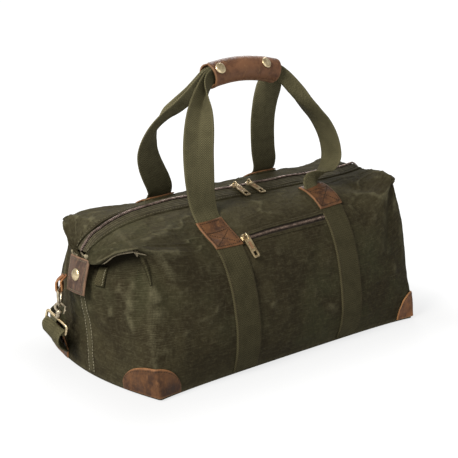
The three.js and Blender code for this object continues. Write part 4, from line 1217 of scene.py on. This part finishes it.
PULL_SLOPE = math.radians(22)
PIVOT_X, PIVOT_Z = 12, 202.6
PULL_YAW = {"left": math.radians(3), "right": math.radians(8)}
for each_hand, each_sign in HANDS.items():
    names = f"slider_{each_hand}", f"main_slider_{each_hand}", f"{each_hand}_slider"
    base = (each_sign * PIVOT_X, 0, PIVOT_Z - 3.0)
    build_slider(*names, base, (each_sign, 0, 0), (0, each_sign, 0), (0, 0, 1), 3.0)
    # Each pull lies down the front tape, turned a little to the right.
    yaw = PULL_YAW[each_hand]
    flat = arr(math.sin(yaw), -math.cos(yaw), 0)
    along = flat * math.cos(PULL_SLOPE) - arr(0, 0, math.sin(PULL_SLOPE))
    across = arr(math.cos(yaw), math.sin(yaw), 0)
    up = np.cross(across, along)
    up = up if up[2] > 0 else -up
    names = f"pull_{each_hand}", f"main_pull_{each_hand}", f"{each_hand}_pull"
    build_pull(*names, (each_sign * PIVOT_X, 0, PIVOT_Z), across, along, up, 28)

# ---- pocket zip

POCKET_CLIMB = climb_at("front", 0, 160)
POCKET_X, POCKET_HALF = -3, 73  # middle and half length of the pocket's zip


def build_pocket_zip():
    """A slot in the front panel: dark tape, closed teeth and two folded lips with stitching."""
    across = 1 / CLIMB_LENGTH

    def band(c0, c1, lift, half=POCKET_HALF):
        low, high = POCKET_CLIMB + c0 * across, POCKET_CLIMB + c1 * across
        return on_side("front", POCKET_X, 2 * half, low, high, lift)

    tape = slab("pocket_tape", band(-4.6, 4.6, 0.15), 120, 7, 0.5, POCKET_TAPE, (2 * POCKET_HALF, 9), 0.4, 0)
    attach(tape, "bag")
    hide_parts("pocket_zip_tape")
    a = np.linspace(0.01, 0.99, 200)
    line, normal = band(-0.5, 0.5, 0.9)(a, np.full(200, 0.5))
    row = teeth("pocket_teeth", line, normal, POCKET_TEETH, 2.0, 2.3)
    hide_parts("pocket_zip_chain")
    for word, c0, c1 in (("upper", 3.8, 8.5), ("lower", -8.0, -3.6)):
        place = band(c0, c1, 0.15)
        height, worn = (2.2, 0.5) if word == "upper" else (0.8, 0.15)
        lip = slab(f"pocket_lip_{word}", place, 150, 9, height, CANVAS, (2 * POCKET_HALF, 4.6), 1.2, worn)
        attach(lip, "bag")
        if word == "upper":
            line = [((0.01, 0.62), (0.99, 0.62))]
            thread("pocket_thread", place, line, height, DARK_THREAD, length=2.4, pitch=3.6, radius=0.24)


build_pocket_zip()

POCKET_SLIDER_X = -67.0


def build_pocket_slider():
    """Slider on the pocket's zip; its pull lies down the panel, turned a little to the right."""

    def run_of(x):
        return run_at("front", arr(x), arr(POCKET_CLIMB))

    def at(x, down, lift):
        return skin("front", run_of(x), POCKET_CLIMB - down / CLIMB_LENGTH, lift)[0]

    seat = at(POCKET_SLIDER_X, 0, 2.0)
    u = skin_normal("front", run_of(POCKET_SLIDER_X), arr(POCKET_CLIMB))[0]
    x = unit(arr(1, 0, 0) - u * u[0])
    rise = 3.6
    build_slider("pocket_slider_body", "pocket_slider", "pocket_slider", seat, x, np.cross(u, x), u, rise)
    pivot = seat + u * rise
    along = unit(at(POCKET_SLIDER_X + 3.0, 27, 3.0) - pivot)
    up = unit(u - along * (u @ along))
    build_pull("pocket_pull_long", "pocket_pull", "pocket_pull", pivot, np.cross(along, up), along, up, 29, 9.0)


build_pocket_slider()

# ---- ends: seam, leather tab, stud, side tab

TAB_LOW, TAB_HIGH, TAB_HALF = 107.5, 149.0, 19.0
STUD_Z = 129


def end_face(sign, y, z, lift=0.0):
    """Points and normals on the end of the bag at a given y and height."""
    y, z = np.broadcast_arrays(np.asarray(y, float), np.asarray(z, float))
    points = np.zeros(y.shape + (3,))
    normals = np.zeros_like(points)
    for side, mask in (("front", y <= 0), ("back", y > 0)):
        if not mask.any():
            continue
        yy, zz = np.abs(y[mask]), z[mask]
        run = np.full(yy.shape, 0.99)
        v = np.clip(zz / 250, 0, 1)
        for _ in range(14):
            p = smooth_skin(side, sign * run, v)
            e = 2e-3
            py = smooth_skin(side, sign * (run - e), v)
            pz = smooth_skin(side, sign * run, v + e)
            dy = (np.abs(py[..., 1]) - np.abs(p[..., 1])) / -e
            dz = (pz[..., 2] - p[..., 2]) / e
            dy = np.where(np.abs(dy) < 20, -20, dy)
            dz = np.where(np.abs(dz) < 20, 20, dz)
            run = np.clip(run + 0.7 * (np.maximum(yy, SEAM) - np.abs(p[..., 1])) / dy, LONG_SHARE, 1)
            v = np.clip(v + 0.7 * (zz - p[..., 2]) / dz, 0, 0.995)
        n = skin_normal(side, sign * np.minimum(run, 0.97), v)
        points[mask] = skin(side, sign * run, v)
        normals[mask] = n
    return points + normals * lift, normals


def end_patch(sign, half, low, high, top_x, foot_x, bow=1.6):
    """A stiff leather piece over the end, whose foot stands off the canvas."""
    slope = (top_x - foot_x) / (high - low)
    base = foot_x - slope * low

    def place(a, b):
        y = (a - 0.5) * 2 * half * (0.93 + 0.07 * b)
        zz = low + (high - low) * b
        x = slope * zz + base - bow * (y / half) ** 2 + 0.8 * np.sin(np.pi * b)
        n = unit(np.stack([np.ones_like(y), 2 * bow * y / half**2, -slope + 0 * y], -1) * arr(sign, 1, 1))
        return np.stack([sign * x, y, zz], -1), n

    return place


def build_end(hand):
    sign = HANDS[hand]
    place = end_patch(sign, TAB_HALF, TAB_LOW, TAB_HIGH, 247.0, 255.5)
    tab = slab(f"end_tab_{hand}", place, 26, 28, 2.4, DARK_LEATHER, (2 * TAB_HALF, TAB_HIGH - TAB_LOW), 0.9)
    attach(tab, "bag")
    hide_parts(f"zip_end_tab_{hand}")
    u, w = 3.0 / (2 * TAB_HALF), 3.0 / (TAB_HIGH - TAB_LOW)
    thread(f"end_tab_thread_{hand}", place, box_lines(u, w), 2.3, THREAD, length=2.2, pitch=3.1, radius=0.34)
    p, n = place(arr(0.5), arr((STUD_Z - TAB_LOW) / (TAB_HIGH - TAB_LOW)))
    dome = [(0.4, 1.6), (7.4, 1.8), (7.6, 2.5), (7.0, 3.5), (5.2, 4.3), (3.0, 4.7), (1.0, 4.85), (0.1, 4.85)]
    stud = lathe(f"end_stud_{hand}", dome, p[0], n[0], BRIGHT_BRASS)
    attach(stud, "bag")
    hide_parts(f"zip_end_stud_{hand}")
    # The end seam below the tab: a raised welt with a row of stitching on each side.
    z = np.linspace(5, TAB_LOW - 1, 60)
    for k, y in enumerate((-5.0, 5.0)):
        q, m = end_face(sign, np.full(60, y), z, 0.35)
        row = stitches(f"end_seam_thread_{hand}_{k}", q, m, PALE_THREAD, length=2.8, pitch=3.9, radius=0.36)
        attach(row, "bag")
    q, m = end_face(sign, np.full(60, 0.0), z, 0.0)
    m = np.broadcast_to(arr(sign, 0, 0), m.shape)
    t = tangents(q)
    welt = tube_mesh(f"end_seam_{hand}", q, np.cross(t, m), m, rounded_section(7.5, 1.8, 0.5, 4), CANVAS)
    set_attribute(welt, "wear", np.full(len(welt.data.vertices), 0.55))
    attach(welt, "bag")


for each_hand in HANDS:
    build_end(each_hand)


def build_side_tab():
    """Blank folded webbing tag beside the left tab."""

    def place(a, b):
        p, n = end_face(-1, -37 + 13 * a, 120.5 + 21 * b, 0.25)
        return p + n * (1.6 * (1 - b))[..., None], n

    tag = slab("side_tag", place, 18, 22, 2.2, BAND_WEBBING, (13, 21), 0.9, 0.3)
    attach(tag, "bag")
    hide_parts("side_tab")
    line = [((0.14, 0.05), (0.14, 0.95))]
    thread("side_tag_thread", place, line, 2.15, PALE_THREAD, length=2.0, pitch=2.8, radius=0.3)


build_side_tab()

# ---- ends: leather loops, D-rings, snap hooks, strap rings

# All of these lie at the left end; the right end's pieces are mirrored from them.
D_CENTRE = arr(-258.5, 30, 104)
BAR_RISE = 2.4
BAR = unit(arr(0.63, 0.777, 0))
HOOK_SEAT = arr(-258.5, 30, 83)
HOOK_LINE = unit(arr(0.02, 0.5, -0.866))
HOOK_ACROSS = unit(arr(0.734, -0.595, -0.327))
GATE_PIVOT = arr(-253.86, 30.37, 74.08)
RING_CENTRE = arr(-258, 41.5, 61.0)
RING_BAR = unit(arr(-0.09, 0.94, 0.33))
RING_UP = unit(arr(0.05, -0.331, 0.942))


def mirrored(obj, sign):
    """Turns a piece made for the left end into the right end's."""
    if sign > 0:
        obj.data.transform(Matrix.Scale(-1, 4, (1, 0, 0)))
        obj.data.flip_normals()
    return obj


def build_loop(hand):
    """A strip of leather folded round the D-ring's bar, its two ends sewn in behind the zip tab."""
    sign = HANDS[hand]
    into = arr(0, 0, 1)
    centre = D_CENTRE + arr(0, 0, BAR_RISE)
    away = unit(np.cross(BAR, into))
    turn = [centre + 3.2 * (math.cos(a) * away - math.sin(a) * into) for a in np.linspace(0, math.pi, 14)]
    front = [turn[0] + into * 9 - away * 0.6, turn[0] + into * 5]
    back = [turn[-1] + into * 5, turn[-1] + into * 9 + away * 0.6]
    inner = arr(7.0, -2.5, 16)
    path = spline([centre + inner + away * 1.6] + front + turn + back + [centre + inner - away * 1.6], 70)
    t = tangents(path)
    w = unit(BAR - t * (t @ BAR)[:, None])
    strip = tube_mesh(f"ring_loop_{hand}", path, w, np.cross(w, t), rounded_section(13, 2.6), TAN_LEATHER)
    u = np.abs(np.array([v.co[:] for v in strip.data.vertices]) @ BAR / MM - centre @ BAR)
    set_attribute(strip, "wear", 0.9 * smooth(u, 5.2, 6.5))
    mirrored(strip, sign)
    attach(strip, "bag")
    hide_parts(f"d_ring_loop_{hand}")


def build_d_ring(hand):
    up = arr(0, 0, 1)
    half, depth, r = 13.2, 19.0, 1.8
    bar = [D_CENTRE + BAR * x + up * BAR_RISE for x in np.linspace(-half, half, 6)]
    curve = []
    for a in np.linspace(0.12, math.pi - 0.12, 15):
        curve.append(D_CENTRE + BAR * half * math.cos(a) * 1.02 - up * (depth * math.sin(a) ** 0.8 - 1.0))
    ring = wire(f"ring_{hand}", bar + curve, r, STEEL, closed=True, sides=16, count=110)
    mirrored(ring, HANDS[hand])
    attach(ring, "bag")
    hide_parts(f"d_ring_{hand}")


def build_hook(hand):
    """Snap hook: a claw round the D-ring, a sprung gate beside it and a swivel barrel below."""
    sign = HANDS[hand]
    across, line = HOOK_ACROSS, HOOK_LINE

    def at(u, w):
        return HOOK_SEAT + across * u + line * w

    claw = [at(-6.0 * math.cos(a), -6.0 * math.sin(a)) for a in np.linspace(-1.3, 2.9, 26)]
    radius = np.interp(np.linspace(0, 1, 60), [0, 0.3, 0.8, 1], [2.1, 1.9, 1.65, 1.1])
    hook = wire(f"hook_{hand}", claw, radius, STEEL, closed=False, sides=14, count=60)
    barrel = [(1.9, 4.2), (2.6, 5.2), (3.4, 6.0), (3.5, 8.4), (2.9, 9.2), (2.2, 9.6)]
    barrel += [(2.2, 10.6), (3.3, 11.2), (3.6, 12.4), (3.4, 15.4), (2.6, 16.4), (1.4, 17.0)]
    neck = lathe(f"hook_neck_{hand}", barrel, HOOK_SEAT + line * 0.5, line, STEEL)
    shank = wire(f"hook_shank_{hand}", [at(-1.8, 5.6), at(-0.6, 7), at(0, 9)], 2.0, STEEL, closed=False, count=14)
    body = joined(f"hook_{hand}", [hook, neck, shank])
    mirrored(body, sign)
    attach(body, "bag")
    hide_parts(f"snap_hook_{hand}")
    pivot = GATE_PIVOT
    tip = at(5.6, -4.6)
    gate = wire(f"gate_{hand}", [pivot, pivot + (tip - pivot) * 0.5, tip], 1.1, STEEL, closed=False, count=16)
    knob = [(0.6, 0), (1.3, 0.3), (1.3, 1.5), (0.7, 1.9)]
    thumb = lathe(f"gate_thumb_{hand}", knob, pivot + (tip - pivot) * 0.45, across, STEEL, 18)
    lever = joined(f"gate_{hand}", [gate, thumb])
    mirrored(lever, sign)
    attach(lever, f"{hand}_gate")
    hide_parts(f"hook_gate_{hand}")


def build_strap_ring(hand):
    """Rectangular ring, with a rolled sleeve of the strap's webbing round its lower bar."""
    sign = HANDS[hand]
    outline = rounded_rect(2 * 20.8 - 1.6, 2 * 6.4 - 1.0, 2.6)
    points = [RING_CENTRE + RING_BAR * x + RING_UP * y for x, y in outline]
    ring = wire(f"strap_ring_{hand}_wire", points, 1.75, BRIGHT_BRASS, closed=True, sides=16, count=130)
    mirrored(ring, sign)
    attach(ring, "bag")
    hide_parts(f"strap_ring_{hand}")
    roll = [(1.9, -18.4), (2.7, -18.8), (3.2, -18.2), (3.3, 0), (3.2, 18.2), (2.7, 18.8), (1.9, 18.4)]
    sleeve = lathe(f"strap_sleeve_{hand}", roll, RING_CENTRE - RING_UP * 5.9, RING_BAR, WEBBING)
    mirrored(sleeve, sign)
    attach(sleeve, "bag")


for each_hand in HANDS:
    build_loop(each_hand)
    build_d_ring(each_hand)
    build_hook(each_hand)
    build_strap_ring(each_hand)

# ---- handles
# Each line runs from the left root through the grip to the right one: x, y, z, the width's direction in
# degrees about Z, and how far the webbing is folded lengthwise (0 flat, 1 doubled).

HANDLES = {
    "front": [
        (-94.5, -57.0, 166.0, 0, 0.0), (-94.5, -48.0, 176.0, 0, 0.0), (-94.5, -41.0, 185.0, -2, 0.0),
        (-95.5, -37.0, 197.0, -6, 0.02), (-97.0, -35.0, 214.0, -12, 0.04),
        (-97.0, -32.5, 236.0, -22, 0.06), (-95.0, -29.0, 261.0, -30, 0.1),
        (-90.5, -25.0, 282.0, -38, 0.2), (-83.5, -19.5, 303.0, -50, 0.4),
        (-75.5, -13.5, 321.0, -66, 0.7), (-65.5, -8.0, 336.0, -80, 0.95),
        (-54.0, -4.6, 344.4, -90, 1.0), (-28.0, -3.9, 349.2, -90, 1.0), (-1.0, -3.9, 350.8, -90, 1.0),
        (28.0, -3.9, 349.0, -90, 1.0), (52.0, -4.8, 344.6, -90, 1.0), (63.0, -8.5, 336.5, -90, 0.92),
        (74.0, -13.0, 322.0, -88, 0.66), (84.0, -18.0, 307.0, -86, 0.36),
        (98.0, -22.0, 293.0, -86, 0.16), (113.0, -26.0, 277.0, -87, 0.08),
        (123.0, -30.5, 258.0, -89, 0.05), (127.0, -34.0, 240.0, -91, 0.03),
        (125.5, -36.5, 226.0, -94, 0.03), (117.0, -38.0, 214.0, -106, 0.03),
        (104.0, -39.5, 206.5, -132, 0.02), (92.5, -42.0, 199.0, -160, 0.0),
        (87.0, -47.0, 193.5, -178, 0.0), (86.5, -57.0, 184.0, -180, 0.0),
    ],
    "back": [
        (-90.0, 68.0, 180.5, 180, 0.0), (-90.0, 60.0, 189.0, 180, 0.0), (-90.5, 56.0, 197.0, 182, 0.0),
        (-95.5, 53.0, 208.0, 184, 0.02), (-104.0, 50.0, 221.5, 186, 0.03),
        (-112.5, 46.5, 236.0, 190, 0.04), (-118.5, 42.0, 251.0, 196, 0.06),
        (-120.0, 36.0, 266.0, 204, 0.1), (-115.0, 30.0, 283.0, 216, 0.2),
        (-103.0, 24.5, 298.0, 230, 0.42), (-88.0, 20.0, 308.5, 244, 0.7),
        (-74.0, 14.0, 321.0, 256, 0.92), (-64.0, 8.0, 334.0, 264, 1.0), (-54.0, 4.8, 343.8, 270, 1.0),
        (-28.0, 3.9, 349.0, 270, 1.0), (-1.0, 3.9, 350.6, 270, 1.0), (28.0, 3.9, 348.8, 270, 1.0),
        (47.0, 5.0, 345.0, 274, 0.97), (57.0, 9.0, 335.5, 300, 0.66), (59.5, 15.0, 320.0, 330, 0.32),
        (60.5, 22.5, 301.0, 346, 0.14), (64.0, 31.0, 279.0, 352, 0.06), (71.0, 39.5, 255.0, 355, 0.03),
        (80.0, 48.0, 232.0, 356, 0.02), (89.0, 55.0, 211.0, 358, 0.0), (91.0, 60.0, 201.0, 360, 0.0),
        (91.0, 69.0, 192.0, 360, 0.0),
    ],
}


def folded_section(fold, arms=19, per_side=12):
    """Outline of a strip bent lengthwise into a U; its spine is spread evenly over the width."""
    half = STRAP_WIDTH / 2
    s = np.linspace(-half, half, 2 * arms + 1)
    bend = math.pi / 2 * fold * np.tanh(s / 1.9) / math.tanh(half / 1.9)
    ds = s[1] - s[0]
    x = np.concatenate([[0], np.cumsum(np.cos((bend[1:] + bend[:-1]) / 2) * ds)])
    y = np.concatenate([[0], np.cumsum(np.sin((bend[1:] + bend[:-1]) / 2) * ds)])
    x, y = x - x.mean(), y - (y.max() + y.min()) / 2
    nx, ny = -np.sin(bend), np.cos(bend)
    thick = STRAP_THICKNESS / 2 * np.sqrt(np.clip(1 - (np.clip(np.abs(s) - (half - 0.9), 0, 0.9) / 1.0) ** 2, 0.1, 1))
    top = np.stack([x + nx * thick, y + ny * thick], 1)
    low = np.stack([x - nx * thick, y - ny * thick], 1)
    return np.vstack([top, low[::-1]]), np.concatenate([s, s[::-1]])


def build_handle(side):
    rows = spline(HANDLES[side], 300)
    p = rows[:, :3]
    angle, fold = np.radians(rows[:, 3]), np.clip(rows[:, 4], 0, 1)
    t = tangents(p)
    w = np.stack([np.cos(angle), np.sin(angle), 0 * angle], 1)
    w = square_to(w, t)
    up = np.cross(w, t)
    sections = [folded_section(f) for f in fold]
    ring = np.stack([s[0] for s in sections])
    cloth_x = sections[0][1]
    verts = p[:, None] + ring[..., :1] * w[:, None] + ring[..., 1:] * up[:, None]
    n, m = ring.shape[:2]
    faces = grid_faces(n, m, wrap_cols=True) + caps(n, m)
    along = length_along(p)
    uv = np.stack([np.repeat(cloth_x[None], n, 0), np.repeat(along[:, None], m, 1)], -1).reshape(-1, 2)
    # The back handle takes the lighter copy, which paints in the light that its shaded faces lack.
    webbing = WEBBING if side == "front" else BACK_WEBBING_PAINTED_LIGHT
    handle = outward(make(f"handle_{side}", verts.reshape(-1, 3), faces, webbing, uv))
    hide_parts(f"{side}_handle")
    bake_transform(handle)


for each_side in ("front", "back"):
    build_handle(each_side)

GRIP_X, GRIP_HALF, GRIP_RADIUS, GRIP_TOP, GRIP_ARCH = -1.0, 54.0, 15.0, 350.3, 6.5
GRIP_LEAN = math.radians(25)
STUD_ANGLE = math.radians(32)
STUD_X = {"left": -45.0, "right": 28.0}


def grip_line(a):
    """Axis of the leather grip: centre, tangent, and the two directions across it."""
    u = 2 * np.asarray(a, float) - 1
    centre = np.stack([GRIP_X + GRIP_HALF * u, 0 * u, GRIP_TOP - GRIP_ARCH * u**2], -1)
    t = unit(np.stack([np.full_like(u, GRIP_HALF), 0 * u, -2 * GRIP_ARCH * u], -1))
    front = np.broadcast_to(arr(0, -1, 0), t.shape)
    return centre, t, front, np.cross(front, t)


def build_grip(side):
    """One half of the leather grip, a thick curved sheet with rounded edges."""
    wall, gap = 2.4, math.radians(1.3)

    def place(a, b):
        # The flap's corners are cut round; the piece behind reaches a little further to the left.
        corner = 7.0 if side == "front" else 2.5
        short = corner * np.clip(1 - b / 0.26, 0, 1) ** 2 / (2 * GRIP_HALF)
        more = 0.0 if side == "front" else 0.022
        a = short - more + a * (1 - 2 * short + more)
        centre, t, front, over = grip_line(a)
        # From the split on top, over the half's own face, to the split below.
        turn = gap + (math.pi - 2 * gap) * b
        tilt = math.pi / 2 + GRIP_LEAN
        angle = tilt - turn if side == "front" else tilt + turn
        c, s = np.cos(angle)[..., None], np.sin(angle)[..., None]
        out = front * c + over * s
        # Leather is pressed in a little between the two webbings and swells at its ends.
        r = GRIP_RADIUS - wall - 0.5 * np.cos(2 * angle) + 0.35 * noise2(a * 6 + 3, b * 3, 31)
        r = r + 0.5 * np.exp(-((np.minimum(a, 1 - a) / 0.05) ** 2))
        return centre + out * r[..., None], out

    half = slab(f"grip_{side}", place, 90, 56, wall, GRIP_LEATHER, (108, math.pi * GRIP_RADIUS), 1.0, 0.4)
    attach(half, f"{side}_handle")
    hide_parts(f"grip_wrap_{side}")


def build_grip_studs():
    dome = [(0.4, -0.6), (7.0, -0.6), (7.2, 0.3), (6.7, 1.2), (5.0, 1.9), (3.0, 2.25), (1.0, 2.35), (0.1, 2.35)]
    for hand, x in STUD_X.items():
        centre, t, front, over = grip_line((x - GRIP_X) / (2 * GRIP_HALF) + 0.5)
        out = front * math.cos(STUD_ANGLE) + over * math.sin(STUD_ANGLE)
        stud = lathe(f"grip_stud_{hand}_cap", dome, centre + out * GRIP_RADIUS, out, BRIGHT_BRASS)
        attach(stud, "front_handle")
        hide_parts(f"grip_stud_{hand}")


for each_side in ("front", "back"):
    build_grip(each_side)
build_grip_studs()

# ---- inside: lining and pocket bag


def build_lining():
    """Cotton lining hung inside the shell, loosely rippled, with a flat floor over the board."""
    columns, rows, inset = 150, 44, 6.5
    run, v = np.meshgrid(np.linspace(-1, 1, columns), np.linspace(0.07, 0.965, rows), indexing="ij")
    verts, faces, pairs, base = [], [], [], 0
    for side in ("front", "back"):
        n = skin_normal(side, run, v)
        hollow = np.maximum(-overhang(around(run), v * CLIMB_LENGTH, side), 0)
        p = smooth_skin(side, run, v) - n * (inset + hollow + 0.8 * noise2(run * 26, v * 9, 41))[..., None]
        ysign = SKIN[side][3]
        p[..., 1] = ysign * np.maximum(ysign * p[..., 1], 0.05)
        p[..., 2] = np.maximum(p[..., 2], 15)
        verts.append(p.reshape(-1, 3))
        pairs.append(np.stack([around(run), v * CLIMB_LENGTH], -1).reshape(-1, 2))
        part = grid_faces(columns, rows, base=base)
        faces += part if side == "front" else [f[::-1] for f in part]
        base += columns * rows
    low, back = np.arange(columns) * rows, columns * rows
    faces += [[i, back + i, back + j, j] for i, j in zip(low, low[1:])]
    lining = make("lining_cloth", np.vstack(verts), faces, LINING, np.vstack(pairs))
    solid = lining.modifiers.new("cloth", "SOLIDIFY")
    solid.thickness, solid.offset = 0.9 * MM, 0
    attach(lining, "bag")
    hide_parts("lining")


def build_pocket_bag():
    """Flat cotton pouch behind the pocket's zip."""
    columns, rows = 60, 44
    u, w = np.meshgrid(np.linspace(-1, 1, columns), np.linspace(0, 1, rows), indexing="ij")
    verts, faces = [], []
    middle = -77.6
    for k, y0 in enumerate((-82.6, -72.6)):
        bulge = (1 - u**4) * (1 - (2 * w - 1) ** 4)
        y = middle + (y0 - middle) * bulge + 0.5 * noise2(u * 5, w * 5, 50 + k)
        verts.append(np.stack([u * 76, y, 62 + w * 82], -1).reshape(-1, 3))
        part = grid_faces(columns, rows, base=k * columns * rows)
        faces += part if k == 0 else [f[::-1] for f in part]
    faces += rim_faces(columns, rows)
    pouch = outward(make("pocket_pouch", np.vstack(verts), faces, LINING))
    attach(pouch, "bag")
    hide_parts("pocket_bag")


build_lining()
build_pocket_bag()

# ---- what is left of the CAD model

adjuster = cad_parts["strap_adjuster"]
adjuster.data.materials.clear()
adjuster.data.materials.append(STEEL)
